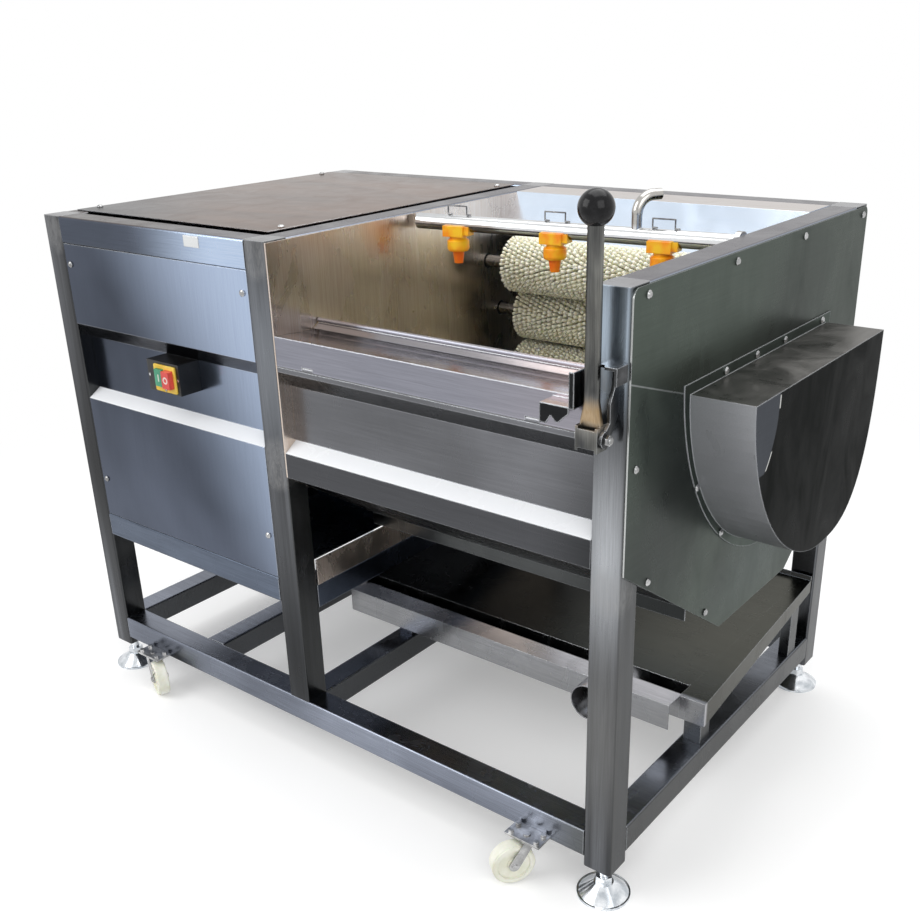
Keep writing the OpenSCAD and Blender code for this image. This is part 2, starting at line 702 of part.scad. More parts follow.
module lever_bolt() color("silver") place() {
    rod(cheek_l - lever_gap - eps, lug_r + nut_h + bolt_r / 2, lever_at, bolt_r);
    translate([cheek_l - lever_gap, lever_at[0], lever_at[1]]) rotate([0, -90, 0])
        cylinder(r = bolt_hex, h = bolt_head_h, $fn = 6);
    translate([lug_r, lever_at[0], lever_at[1]]) rotate([0, 90, 0])
        cylinder(r = bolt_hex, h = nut_h, $fn = 6);
}
// The stop bracket backs the lever bar, turns down at the post's edge and carries the lug for the bolt
lug_eye = bolt_hex + 4;
lug_heel = 30;                  // height over the pivot where the lug leaves the post
lug_bend = 30;                  // height over which the lug's front edge swings forwards
lug_top = stop_z - stop_h;
bar_back = -lever_y + lever_r + lever_gap;
bar_side = -lever_x + lever_r + 2 * lever_gap;
lug_curve = [for (t = [0:1 / 8:1]) [-lug_belly + (lug_belly - lug_neck) * (1 - cos(180 * t)) / 2,
    lug_top - lug_bend * (1 - t)]];
module lever_bracket() color("silver") place() {
    translate([0, 0, stop_z - clevis_t]) linear_extrude(clevis_t) polygon([[-stop_w, 0], [0, 0],
        [0, -stop_d], [bar_side + clevis_t, -stop_d], [bar_side, bar_back], [-stop_w, bar_back]]);
    box(-clevis_t, 0, -stop_d, 0, lug_top, stop_z - half);
    difference() {
        along(lug_l, lug_r) union() {
            polygon(concat([[-lever_y - lug_eye, lever_pivot_z],
                [-lug_belly, lever_pivot_z + lug_heel - lug_neck]], lug_curve,
                [[-lug_neck, stop_z - half], [0, stop_z - half], [0, lever_pivot_z + lug_heel],
                [-lever_y + lug_eye, lever_pivot_z]]));
            translate(lever_at) circle(lug_eye);
        }
        rod(lug_l - eps, lug_r + eps, lever_at, bolt_r + eps);
    }
}
module shaft(k) {
    left_end = k == 2 ? motor_belt_x : k == 1 ? transfer_x : bearing_t;
    rod(partition_x - left_end - groove_w, k == 1 ? -run_gap : loop_x + groove_w, axes[k - 1], shaft_r);
}
module pulley(x, at, r) {
    rod(x - groove_w / 2 - eps, x + groove_w / 2 + eps, at, r);
    for (s = [-groove_w / 2 - pulley_side, groove_w / 2])
        rod(x + s, x + s + pulley_side, at, r + pulley_lip);
}
module roller_core(k) color("silver") place() {
    shaft(k);
    for (x = [brush_x, brush_x + brush_l - groove_w]) rod(x, x + groove_w, axes[k - 1], sleeve_bore);
    if (k > 1) pulley(loop_x, axes[k - 1], pulley_r);
    if (k < 3) pulley(partition_x - transfer_x, axes[k - 1], pulley_r);
    if (k == 2) pulley(partition_x - motor_belt_x, axes[k - 1], pulley_r);
}
module tuft(l) linear_extrude(l, scale = tuft_tip / tuft_root) square(tuft_root, center = true);
module brush(k) color("ivory") place() translate([brush_x, axes[k - 1][0], axes[k - 1][1]]) {
    rotate([0, 90, 0]) linear_extrude(brush_l) difference() {
        circle(sleeve_r, $fn = 36);
        circle(sleeve_bore, $fn = 36);
    }
    for (i = [0:tuft_rings - 1], j = [0:tufts_round - 1])
        translate([brush_l * (i + half) / tuft_rings, 0, 0])
            rotate([360 * j / tufts_round + tuft_turn * i, 0, 0])
                translate([0, 0, sleeve_r - tuft_set]) tuft(brush_r - sleeve_r + tuft_set);
}
module bearing(at) difference() {
    union() {
        rod(0, bearing_t, at, bearing_r);
        translate([0, at[0] - bearing_flange / 2, at[1] - bearing_flange / 2])
            cube([bearing_flange_t, bearing_flange, bearing_flange]);
    }
    rod(-eps, bearing_t + eps, at, shaft_r + run_gap);
}
module bearings() color("darkslategray") place() for (a = axes) {
    translate([partition_x, 0, 0]) mirror([1, 0, 0]) bearing(a);
    mirror([1, 0, 0]) bearing(a);
}
module belt_ring(x, list, radii) along(x - belt_w / 2, x + belt_w / 2) difference() {
    hull() for (i = [0:len(list) - 1]) translate(list[i]) circle(radii[i] + belt_gap + belt_t);
    hull() for (i = [0:len(list) - 1]) translate(list[i]) circle(radii[i] + belt_gap);
}
motor_at = [motor_y, cab_floor_z + sheet + motor_axis_h];
motor_right = partition_x - motor_belt_x - groove_w - pulley_side;
module loop_belt() color("black") place() belt_ring(loop_x, curve_axes, [for (a = curve_axes) pulley_r]);
module transfer_belt() color("black") place()
    belt_ring(partition_x - transfer_x, [axes[0], axes[1]], [pulley_r, pulley_r]);
module motor_belt() color("black") place()
    belt_ring(partition_x - motor_belt_x, [motor_at, axes[1]], [motor_pulley_r, pulley_r]);
module motor_pulley() color("silver") place() {
    pulley(partition_x - motor_belt_x, motor_at, motor_pulley_r);
    rod(motor_right - tube, partition_x - motor_belt_x + groove_w, motor_at, motor_shaft_r);
}
motor_base = cab_floor_z + sheet;
motor_left = motor_right - motor_l;
fin_t = 2;
module motor_fins_2d() {
    circle(motor_r - 10);
    for (i = [0:motor_fins - 1]) rotate(360 * i / motor_fins) translate([0, -fin_t / 2])
        square([motor_r - fin_t, fin_t]);
}
module motor() color("steelblue") place() difference() {
    union() {
        along(motor_left + tube, motor_right - tube) translate(motor_at) motor_fins_2d();
        rod(motor_left, motor_left + tube + eps, motor_at, motor_r);
        rod(motor_right - tube - eps, motor_right - 14, motor_at, motor_r);
        rod(motor_right - 14 - eps, motor_right - 2, motor_at, motor_r / 3);
        box(motor_left + tube, motor_right - tube - 10, motor_at[0] - 35, motor_at[0] + 35,
            motor_at[1] + motor_r - 20, motor_at[1] + motor_r + 34);
        for (y = [motor_at[0] - motor_r, motor_at[0] + motor_r - 36])
            box(motor_left + tube, motor_right - tube, y, y + 36, motor_base, motor_base + 12);
        box(motor_left + tube + 10, motor_right - tube - 10, motor_at[0] - 50, motor_at[0] + 50,
            motor_base, motor_at[1] - motor_r + 20);
    }
    rod(motor_right - tube - 10, motor_right + eps, motor_at, motor_shaft_r + run_gap);
}
tray_l = mid_l - tray_over;
tray_r = -side_gap;
gutter_front = tray_y + tray_flange;
gutter_rear = gutter_front + gutter_w;
tray_low = tray_z - tray_depth;
floor_z = tray_z + 4;
sump_z = tray_low - 27;
spout_z = sump_z + spout_r + sheet;
tray_top = tray_z + tray_rise;
tray_rear_y = frame_d - tray_rear_gap;
floor_path = [[tray_rear_y, tray_top + tray_lip], [tray_rear_y, tray_top], [gutter_rear, floor_z]];
tray_path = concat(floor_path, [[gutter_rear, tray_low], [gutter_front, tray_low], [gutter_front, tray_z],
    [tray_y, tray_z], [tray_y, tray_low]]);
gutter_end = tray_r - side_box; // the gutter and its flange end at the side box
module tray() color("gray") place() {
    difference() {
        union() {
            along(tray_l, gutter_end) ribbon(tray_path, -sheet);
            along(gutter_end - eps, tray_r) ribbon(floor_path, -sheet);
            box(gutter_end - sheet, gutter_end + half, gutter_front, gutter_rear, tray_low, tray_z);
            sump_box(0);
            rod_deep(-spout_x, gutter_front - spout_l, gutter_front + sheet, spout_z, spout_r);
        }
        sump_box(sheet);
        rod_deep(-spout_x, gutter_front - spout_l - eps, gutter_front + 2 * sheet, spout_z,
            spout_r - spout_wall);
    }
    along(tray_l, tray_l + sheet) polygon([[tray_y, tray_low], [tray_y, tray_z + half],
        [gutter_rear, floor_z + tray_lip], [tray_rear_y, tray_top + tray_lip],
        [tray_rear_y, tray_top - half], [gutter_rear + 1, tray_low]]);
    side_box_wedge();
}
module sump_box(t) box(-spout_x - sump_l / 2 + t, -spout_x + sump_l / 2 - t, gutter_front - sheet + t,
    gutter_rear - t, sump_z + t, tray_low + (t > 0 ? sheet + eps : eps));
box_front = gutter_front - 5;
box_low = tray_low + 4;
// The side box is open at its rear end
module side_box_wedge() difference() {
    side_box_form(0, 0, eps);
    side_box_form(sheet, sheet, 2 * sheet);
}
module side_box_form(t, front, rear) hull() {
    box(tray_r - side_box + t, tray_r - t, box_front + front, box_front + front + 1, box_low + t,
        tray_z + sheet - t);
    box(tray_r - side_box_rear + t, tray_r - t, tray_rear_y - 1, tray_rear_y - eps + rear,
        tray_top - side_box_rear_h + t, tray_top + sheet - t);
}
// Undersides of the tray's floor and of its side box, at a distance from the front
function floor_under(y) = floor_z + (y - gutter_rear) / (tray_rear_y - gutter_rear) * (tray_top - floor_z);
function box_under(y) = box_low + (y - box_front - 1) / (tray_rear_y - box_front - 1)
    * (tray_top - side_box_rear_h - box_low);
block_y = gutter_front - 8;
block_rear_y = rear_in - block_gap - block;
block_l = mid_l + (tube - block) / 2;
block_r = -tube + (tube - block) / 2;
// Side view of a block on the floor rail, with the heights of its top at its front and its rear
function block_side(y, front, rear) =
    [[y, low_rail_top], [y + block, low_rail_top], [y + block, rear], [y, front]];
module tray_blocks() color("silver") place() {
    box(block_l, block_l + block, block_y, block_y + block, low_rail_top, tray_low);
    along(block_r, block_r + block)
        polygon(block_side(box_front + 1, box_low, box_under(box_front + 1 + block)));
    along(block_l, block_l + block)
        polygon(block_side(block_rear_y, floor_under(block_rear_y), floor_under(block_rear_y + block)));
    along(tray_r - side_box_rear, tray_r - half)
        polygon(block_side(block_rear_y, box_under(block_rear_y), box_under(block_rear_y + block)));
}

module at_pipe(d)
    translate([-tube, pipe_y, pipe_z]) rotate([0, 0, pipe_yaw]) translate([-d, 0, 0]) children();
pipe_z = post_h - pipe_drop;
pipe_l = (bay_w - tube - wall_plate - pipe_end_gap) / cos(pipe_yaw);
pipe_short = 2;                 // the pipe's end stops inside the collar
inlet_d = inlet_x - tube;
inlet_rise = 22;
inlet_yaw = 54;                 // the hose end points back and to the right
inlet_stub = 14;
bend_step = 0.3;                // the bend is a little fuller than the straight ends set into it
collar_r = pipe_r + 5;
collar_w = 9;
module inlet_end(r, x0, x1) at_pipe(inlet_d) rotate([0, 0, inlet_yaw])
    translate([inlet_bend + x0, 0, pipe_r + inlet_rise + inlet_bend]) rotate([0, 90, 0])
        cylinder(r = r, h = x1 - x0);
module inlet() {
    at_pipe(inlet_d) {
        cylinder(r = inlet_r, h = pipe_r + inlet_rise + 1);
        rotate([0, 0, inlet_yaw]) translate([inlet_bend, 0, pipe_r + inlet_rise])
            mirror([1, 0, 0]) rotate([90, 0, 0]) rotate_extrude(angle = 90)
                translate([inlet_bend, 0]) circle(inlet_r + bend_step);
    }
    inlet_end(inlet_r, -1, inlet_stub);
}
module spray_pipe() color("whitesmoke") place() difference() {
    union() {
        at_pipe(pipe_l) rotate([0, 90, 0]) cylinder(r = pipe_r, h = pipe_l - pipe_short);
        rod(-tube - collar_w, -tube, [pipe_y, pipe_z], collar_r);
        inlet();
    }
    at_pipe(pipe_l - pipe_wall) rotate([0, 90, 0])
        cylinder(r = pipe_r - pipe_wall, h = pipe_l - 2 * pipe_wall - pipe_short);
    inlet_end(inlet_r - pipe_wall, 1, inlet_stub + eps);
}
saddle_d = pipe_r + 5;
saddle_low = pipe_r + 8;
saddle_gap = 3;                 // the saddles hold the pipe's lower half, less this
ear = 10;                       // clamp ear on one side of each saddle
ear_in = 4;
neck_r = nozzle_r - 5;
neck_h = 6;
nut_edge = 4;                   // height of the bevelled edges of the ball nut
nut_body = 14;
nut_low = saddle_low + neck_h - 2 + 2 * nut_edge + nut_body;
nozzles = [for (i = [0:2]) nozzle_x + nozzle_pitch * i - tube];
module nozzle_bodies() color("gold") place() for (d = nozzles) at_pipe(d) {
    difference() {
        union() {
            box(-nozzle_w / 2, nozzle_w / 2, -saddle_d, saddle_d, -saddle_low, -saddle_gap);
            box(nozzle_w / 2 - eps, nozzle_w / 2 + ear, -saddle_d + ear_in, ear_in,
                -saddle_low + ear_in, -saddle_gap - half);
        }
        translate([-nozzle_w, 0, 0]) rotate([0, 90, 0]) cylinder(r = pipe_r, h = 2 * nozzle_w);
    }
    translate([0, 0, -saddle_low - neck_h]) cylinder(r = neck_r, h = neck_h + eps);
    translate([0, 0, -nut_low]) cylinder(r1 = nozzle_r - 2, r2 = nozzle_r, h = nut_edge);
    translate([0, 0, -nut_low + nut_edge - eps]) cylinder(r = nozzle_r, h = nut_body + 2 * eps);
    translate([0, 0, -nut_low + nut_edge + nut_body]) cylinder(r1 = nozzle_r, r2 = neck_r, h = nut_edge);
}
module nozzle_tips() color("darkorange") place() for (d = nozzles) at_pipe(d)
    translate([0, 0, -nut_low - tip_l]) difference() {
        cylinder(r1 = nozzle_r / 2 - 2, r2 = nozzle_r / 2 + 1, h = tip_l);
        translate([0, 0, -eps]) cylinder(r = 3, h = tip_l);
    }
wire_r = 1.3;
clip_w = 39;
clip_h = 16;                    // height of the loop over the pipe
clip_foot = 8;                  // length of the feet that lie on the pipe
clip_gap = 0.2;
clip_fuller = 0.2;              // the bend round the pipe is a little fuller than the wire's straight ends
clip_ring = pipe_r + clip_gap + wire_r + clip_fuller;
// Length of round wire between two points, with a ball at its start so that bends stay closed
module wire(p, q) translate(p) rotate([0, acos((q - p)[2] / norm(q - p)), atan2((q - p)[1], (q - p)[0])]) {
    cylinder(r = wire_r, h = norm(q - p));
    sphere(wire_r);
}
// Each clip has a loop and two feet over the pipe, and two legs that bend round its back to the clamp
module nozzle_clips() color("gray") place() for (d = nozzles) at_pipe(d) {
    top = pipe_r + clip_h;
    wire([-clip_w / 2, 0, top], [clip_w / 2, 0, top]);
    for (x = [-clip_w / 2, clip_w / 2]) {
        wire([x, 0, top], [x, 0, clip_ring]);
        wire([x + clip_foot, 0, clip_ring], [x, 0, clip_ring]);
        translate([x, 0, clip_ring]) sphere(wire_r);
        translate([x, 0, 0]) rotate([90, 0, 90]) rotate_extrude(angle = 90)
            translate([clip_ring, 0]) circle(wire_r + clip_fuller, $fn = 24);
        translate([x, clip_ring, -saddle_gap]) cylinder(r = wire_r, h = saddle_gap + 1);
    }
}

switch_l = -switch_x - switch_w;
switch_front = door_back - switch_d;
button_in = 8;
pocket = 14;
pocket_in = 3;                  // the pocket behind the face is smaller than the face
button_bridge = 5;              // face left between the two buttons
face_low = 3;                   // margin below the face
face_x = switch_l + switch_w - face_right - face_w;
face_z = switch_z + face_low;
button_mid_z = face_z + face_h / 2 + 1;
buttons = [for (s = [-1, 1]) face_x + face_w / 2 + s * (button_w + button_bridge) / 2];
switch_screw = 2.5;
module switch_box() color("black") place() difference() {
    box(switch_l, switch_l + switch_w, switch_front, door_back, switch_z, switch_z + switch_h);
    box(face_x + pocket_in, face_x + face_w - pocket_in, switch_front - eps, switch_front + pocket,
        face_z + pocket_in, face_z + face_h - pocket_in);
}
module switch_face() color("gold") place() difference() {
    translate([face_x, switch_front, face_z]) rotate([90, 0, 0]) linear_extrude(face_t) difference() {
        round_rect(face_w, face_h, pocket_in);
        for (x = buttons) translate([x - face_x - button_w / 2 - button_gap,
            button_mid_z - face_z - button_h / 2 - button_gap])
                square([button_w + 2 * button_gap, button_h + 2 * button_gap]);
    }
}
module push_button(x, rise) box(x - button_w / 2, x + button_w / 2, switch_front - face_t - rise,
    switch_front + button_in, button_mid_z - button_h / 2, button_mid_z + button_h / 2);
module start_button() color("green") place() push_button(buttons[0], start_rise);
module stop_button() color("red") place() push_button(buttons[1], stop_rise);

module foot(x, y) color("silver") place() translate([x, y, -foot_h]) {
    cylinder(r = foot_r, h = 4);
    translate([0, 0, 4 - eps]) cylinder(r1 = foot_r - 3, r2 = stem_r * 2, h = foot_dome - 4);
    translate([0, 0, foot_dome - 2 * eps]) cylinder(r = stem_r * 2 - 1, h = 13, $fn = 6);
    translate([0, 0, foot_dome]) cylinder(r = stem_r, h = foot_h + stem_in - foot_dome);
}
plate_top_z = 26;
crown_z = plate_top_z - plate_t - side_play;
crown_r = 16;
axle_z = -foot_h + wheel_r + 1.5;
axle_r = 5;
leg_t = 2.5;
leg_in = wheel_w / 2 + 1;
pin_r = 6;
axle_half = leg_in + leg_t + 3;
module caster_plate(x) {
    difference() {
        box(x - plate_l / 2, x + plate_l / 2, -plate_d, 0, plate_top_z - plate_t, plate_top_z);
        translate([x, caster_y, 0]) cylinder(r = pin_r + run_gap, h = tube);
    }
    for (dx = [-plate_l / 2 + 9, plate_l / 2 - 9], y = [-plate_d + 7, -8])
        translate([x + dx, y, plate_top_z]) cylinder(r = 5, h = 5, $fn = 6);
}
module caster_plates() color("lightgray") place() {
    caster_plate(caster_l_x);
    caster_plate(caster_r_x);
}
module at_caster(x, yaw) translate([x, caster_y, 0]) rotate([0, 0, yaw]) children();
module caster_fork(x, yaw) color("lightsteelblue") place() at_caster(x, yaw) {
    translate([0, 0, crown_z - 3]) cylinder(r = crown_r, h = 3);
    swivel_pin();
    for (s = [-1, 1]) translate([0, s > 0 ? leg_in + leg_t : -leg_in, 0])
        rotate([90, 0, 0]) linear_extrude(leg_t) hull() {
            translate([-8, crown_z - 3 - eps]) square([16, 3]);
            translate([caster_trail, axle_z]) circle(9, $fn = 32);
        }
    translate([caster_trail, axle_half, axle_z]) rotate([90, 0, 0]) cylinder(r = axle_r, h = 2 * axle_half);
}
module swivel_pin() translate([0, 0, crown_z - 2]) cylinder(r = pin_r, h = plate_top_z - crown_z + 4);
module caster_wheel(x, yaw) color("ivory") place() at_caster(x, yaw)
    translate([caster_trail, wheel_w / 2, axle_z]) rotate([90, 0, 0]) difference() {
        union() {
            cylinder(r = wheel_r - tread_bevel, h = wheel_w);
            translate([0, 0, tread_bevel]) cylinder(r = wheel_r, h = wheel_w - 2 * tread_bevel);
        }
        translate([0, 0, -eps]) cylinder(r = axle_r + axle_gap, h = wheel_w + 2 * eps);
        for (z = [-eps, wheel_w - 4]) translate([0, 0, z]) difference() {
            cylinder(r = wheel_r - 9, h = 4 + eps);
            translate([0, 0, -eps]) cylinder(r = axle_r + 6, h = 4 + 3 * eps);
        }
    }

module head() {
    cylinder(r = screw_r, h = screw_h / 2);
    translate([0, 0, screw_h / 2 - eps]) cylinder(r1 = screw_r, r2 = screw_r * 0.6, h = screw_h / 2);
}
door_inset = 14;
cover_inset_x = 14;
cover_inset_y = 42;
guard_screw_d = guard_flange / 2 + guard_space;
rim_angles = [150, 126, 96, 60, 30];
rim_top_screws = [280, 388, 495, 652];
end_top_z = post_h - 15;
end_side_z = 685;
// Screws of the end panel, by depth and height: along its top, at its sides and along its lower slope
end_screws = [[40, end_top_z], [frame_d * 0.357, end_top_z], [frame_d * 0.655, end_top_z],
    [frame_d - 27, end_top_z], [24, end_side_z], [frame_d - 24, end_side_z], [71, 496], [271, 357]];
module panel_screws() color("silver") place() {
    for (x = [door_l + door_inset, door_r - door_inset], z = door_screws)
        translate([x, panel_inset, z]) rotate([90, 0, 0]) head();
    for (x = [-frame_w + cover_margin + cover_inset_x, mid_l - cover_margin - cover_inset_x],
         y = [cover_front + cover_inset_y, frame_d - cover_rear - cover_inset_y])
        translate([x, y, post_h + sheet]) head();
    for (p = end_screws) translate([wall_plate, p[0], p[1]]) rotate([0, 90, 0]) head();
    for (y = rim_top_screws)
        translate([wall_plate + sheet, y, guard_top_z + guard_flange / 2]) rotate([0, 90, 0]) head();
    for (a = rim_angles) let(p = curve_point(a, guard_screw_d))
        translate([wall_plate + sheet, p[0], p[1]]) rotate([0, 90, 0]) head();
    for (p = [[switch_l + 2 * switch_screw, switch_front, switch_z + switch_h / 2],
            [switch_l + switch_w - face_right / 2, switch_front, switch_z + switch_h / 2],
            [face_x + face_w / 2, switch_front - face_t, face_z + 2 * switch_screw - 1]])
        translate(p) rotate([90, 0, 0]) cylinder(r = switch_screw, h = 1);
}

posts();
top_rails();
cabinet_rails();
floor_rails();
top_cover();
cabinet_door();
cabinet_wrap();
cabinet_floor();
partition();
rear_sheet();
front_panel();
end_panel();
drive_guard();
gate();
lever_arm();
lever_knob();
lever_bolt();
lever_bracket();
tray();
tray_blocks();
spray_pipe();
nozzle_bodies();
nozzle_clips();
nozzle_tips();
switch_box();
switch_face();
start_button();
stop_button();
motor();
motor_pulley();
motor_belt();
transfer_belt();
loop_belt();
bearings();
panel_screws();
caster_plates();
caster_fork(caster_l_x, yaw_l);  // caster_fork_left
caster_fork(caster_r_x, yaw_r);  // caster_fork_right
caster_wheel(caster_l_x, yaw_l);  // caster_wheel_left
caster_wheel(caster_r_x, yaw_r);  // caster_wheel_right
foot(-frame_w + tube / 2, tube / 2);  // foot_front_left
foot(-tube / 2, tube / 2);  // foot_front_right
foot(-frame_w + tube / 2, frame_d - tube / 2);  // foot_rear_left
foot(-tube / 2, frame_d - tube / 2);  // foot_rear_right
roller_core(1);  // roller_core_1
roller_core(2);  // roller_core_2
roller_core(3);  // roller_core_3
roller_core(4);  // roller_core_4
roller_core(5);  // roller_core_5
roller_core(6);  // roller_core_6
roller_core(7);  // roller_core_7
roller_core(8);  // roller_core_8
brush(1);  // brush_1
brush(2);  // brush_2
brush(3);  // brush_3
brush(4);  // brush_4
brush(5);  // brush_5
brush(6);  // brush_6
brush(7);  // brush_7
brush(8);  // brush_8
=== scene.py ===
import bpy
import numpy as np
from mathutils import Matrix, Vector


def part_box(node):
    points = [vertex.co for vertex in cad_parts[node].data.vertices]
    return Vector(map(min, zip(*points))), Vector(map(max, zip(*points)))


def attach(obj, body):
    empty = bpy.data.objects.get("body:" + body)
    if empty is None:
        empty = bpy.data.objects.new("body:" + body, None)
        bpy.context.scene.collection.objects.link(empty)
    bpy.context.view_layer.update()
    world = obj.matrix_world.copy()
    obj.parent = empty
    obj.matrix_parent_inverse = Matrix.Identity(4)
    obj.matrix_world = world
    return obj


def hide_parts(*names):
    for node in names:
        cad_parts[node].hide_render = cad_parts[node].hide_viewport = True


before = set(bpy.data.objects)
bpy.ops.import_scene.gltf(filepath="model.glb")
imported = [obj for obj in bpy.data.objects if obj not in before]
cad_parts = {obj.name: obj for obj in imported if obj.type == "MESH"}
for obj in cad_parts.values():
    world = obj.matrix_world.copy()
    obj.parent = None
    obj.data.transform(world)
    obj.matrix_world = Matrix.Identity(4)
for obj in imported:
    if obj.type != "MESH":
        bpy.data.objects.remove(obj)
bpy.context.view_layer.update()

# Camera. It stands at the machine's front right corner and looks a little down on it, through a
# normal lens.
SENSOR = 36
LENS = 42.40
SHIFT = (-0.004615, 0.06118)
STAND = (1.2731, -1.56223, 1.2797)
EYE_RIGHT = Vector((0.78598, 0.61772, -0.02575))
EYE_UP = Vector((-0.23021, 0.33106, 0.9151))
EYE_BACK = Vector((0.5738, -0.71332, 0.40241))
NEAREST, FARTHEST = 0.05, 60               # distances between which the camera sees
lens = bpy.data.cameras.new("camera")
lens.sensor_width = SENSOR
lens.lens = LENS
lens.shift_x, lens.shift_y = SHIFT
lens.clip_start, lens.clip_end = NEAREST, FARTHEST
camera = bpy.data.objects.new("camera", lens)
turn = Matrix((EYE_RIGHT.normalized(), EYE_UP.normalized(), EYE_BACK.normalized())).transposed()
camera.matrix_world = Matrix.Translation(STAND) @ turn.to_4x4()
bpy.context.scene.collection.objects.link(camera)
bpy.context.scene.camera = camera
bpy.context.scene.view_settings.view_transform = "Standard"

# Room. The air and the pale floor are white to the eye and in reflections, and dimmer as light on the
# machine; away from the machine the floor runs out into the same white. Two wide soft lamps stand in
# front and to the left, and one over it.
ROOM_WHITE = 1.0
ROOM_FILL = 0.75
FLOOR_TONE = 0.80
FLOOR_GLOW = 0.28
FLOOR_NEAR, FLOOR_FAR = 1.05, 2.3          # where the floor starts and ends to run out into white
FLOOR_REACH = 20
FLOOR_ROUGH = 0.9
LAMPS = (("front_left", (-1.6, -2.6, 2.4), (0, 0, 0.6), 2.2, 46),
         ("front_right", (2.8, -1.6, 2.2), (0, 0, 0.6), 2.0, 22),
         ("overhead", (0.2, 0.4, 3.2), (0, 0, 0.5), 2.6, 44))


def node(tree, kind, **values):
    """Adds a shader node of that kind; each value goes to the socket or setting of that name."""
    made = tree.nodes.new("ShaderNode" + kind)
    for name, value in values.items():
        name = name.replace("_", " ")
        plain = name.replace(" ", "_")
        if hasattr(made, plain) and plain != "color":
            setattr(made, plain, value)
        else:
            made.inputs[name[0].upper() + name[1:]].default_value = value
    return made


def seen_ray(tree):
    """One for rays that start at the eye, on a gloss or through glass, and nothing for light."""
    path = node(tree, "LightPath")
    total = path.outputs["Is Camera Ray"]
    for name in ("Is Glossy Ray", "Is Transmission Ray"):
        add = node(tree, "Math", operation="MAXIMUM")
        tree.links.new(total, add.inputs[0])
        tree.links.new(path.outputs[name], add.inputs[1])
        total = add.outputs[0]
    return total


room = bpy.data.worlds.new("room")
bpy.context.scene.world = room
room.use_nodes = True
tree = room.node_tree
air = tree.nodes["Background"]
air.inputs["Color"].default_value = (1, 1, 1, 1)
strength = node(tree, "MapRange")
strength.inputs["To Min"].default_value = ROOM_FILL
strength.inputs["To Max"].default_value = ROOM_WHITE
tree.links.new(seen_ray(tree), strength.inputs["Value"])
tree.links.new(strength.outputs[0], air.inputs["Strength"])

floor_mesh = bpy.data.meshes.new("floor")
floor_mesh.from_pydata([(x * FLOOR_REACH, y * FLOOR_REACH, 0)
                        for x, y in ((-1, -1), (1, -1), (1, 1), (-1, 1))], [], [(0, 1, 2, 3)])
floor = bpy.data.objects.new("floor", floor_mesh)
bpy.context.scene.collection.objects.link(floor)
paint = bpy.data.materials.new("floor_paint")
paint.use_nodes = True
tree = paint.node_tree
shader = tree.nodes["Principled BSDF"]
shader.inputs["Roughness"].default_value = FLOOR_ROUGH
shader.inputs["Specular IOR Level"].default_value = 0.0
shader.inputs["Emission Color"].default_value = (1, 1, 1, 1)
away = node(tree, "VectorMath", operation="LENGTH")
tree.links.new(node(tree, "TexCoord").outputs["Object"], away.inputs[0])
fade = []
for near_value, far_value in ((FLOOR_TONE, 0.0), (FLOOR_GLOW, 1.0)):
    step = node(tree, "MapRange", interpolation_type="SMOOTHSTEP")
    for name, number in (("From Min", FLOOR_NEAR), ("From Max", FLOOR_FAR), ("To Min", near_value),
                         ("To Max", far_value)):
        step.inputs[name].default_value = number
    tree.links.new(away.outputs["Value"], step.inputs["Value"])
    fade.append(step.outputs[0])
tree.links.new(fade[0], shader.inputs["Base Color"])
glow = node(tree, "Math", operation="MULTIPLY")
tree.links.new(seen_ray(tree), glow.inputs[0])
tree.links.new(fade[1], glow.inputs[1])
tree.links.new(glow.outputs[0], shader.inputs["Emission Strength"])
floor_mesh.materials.append(paint)


def lamp(name, place, aim, width, power):
    """A square soft lamp at a place, turned to face the aim."""
    light = bpy.data.lights.new(name, "AREA")
    light.shape = "SQUARE"
    light.size = width
    light.energy = power
    made = bpy.data.objects.new(name, light)
    made.matrix_world = Matrix.Translation(place) @ (
        Vector(aim) - Vector(place)).to_track_quat("-Z", "Y").to_matrix().to_4x4()
    bpy.context.scene.collection.objects.link(made)


for values in LAMPS:
    lamp(*values)

# Frame. Square stainless tube, mitred, welded and ground flush: the corner and mid posts, the rails at
# the top, under the cabinet and over the floor. The grinding leaves paler patches at the joints.
MM = 0.001
CORNER = np.array((602.0, -386.834, 61.0))  # the frame's front right corner at the floor rails, in mm
SOFT_EDGE, FOLD_EDGE = 0.0012, 0.0025      # how round a cut edge and a folded one look
EDGE_SAMPLES = 4


def at(x, y, z):
    """A place given in millimetres from the frame's front right corner, as metres in the room."""
    return tuple((np.array((x, y, z)) + CORNER) * MM)


def noise(tree, place, scale, detail=2.0, stretch=(1, 1, 1), rough=0.5, distort=0.0):
    """Smooth noise on the object's own coordinates, with its own stretch, as one number."""
    spread = node(tree, "Mapping")
    spread.inputs["Scale"].default_value = stretch
    tree.links.new(place, spread.inputs["Vector"])
    made = node(tree, "TexNoise")
    made.inputs["Scale"].default_value = scale
    made.inputs["Detail"].default_value = detail
    made.inputs["Roughness"].default_value = rough
    made.inputs["Distortion"].default_value = distort
    tree.links.new(spread.outputs[0], made.inputs["Vector"])
    return made.outputs["Fac"]


def ramp(tree, value, low, high, to_low=0.0, to_high=1.0):
    """The value carried from one range to another and held at its ends."""
    made = node(tree, "MapRange")
    for name, number in (("From Min", low), ("From Max", high),
                         ("To Min", to_low), ("To Max", to_high)):
        made.inputs[name].default_value = number
    tree.links.new(value, made.inputs["Value"])
    return made.outputs[0]


def sum_of(tree, kind, a, b):
    """Two numbers or sockets put together by that Math operation."""
    made = node(tree, "Math", operation=kind)
    for i, part in enumerate((a, b)):
        if isinstance(part, (int, float)):
            made.inputs[i].default_value = part
        else:
            tree.links.new(part, made.inputs[i])
    return made.outputs[0]


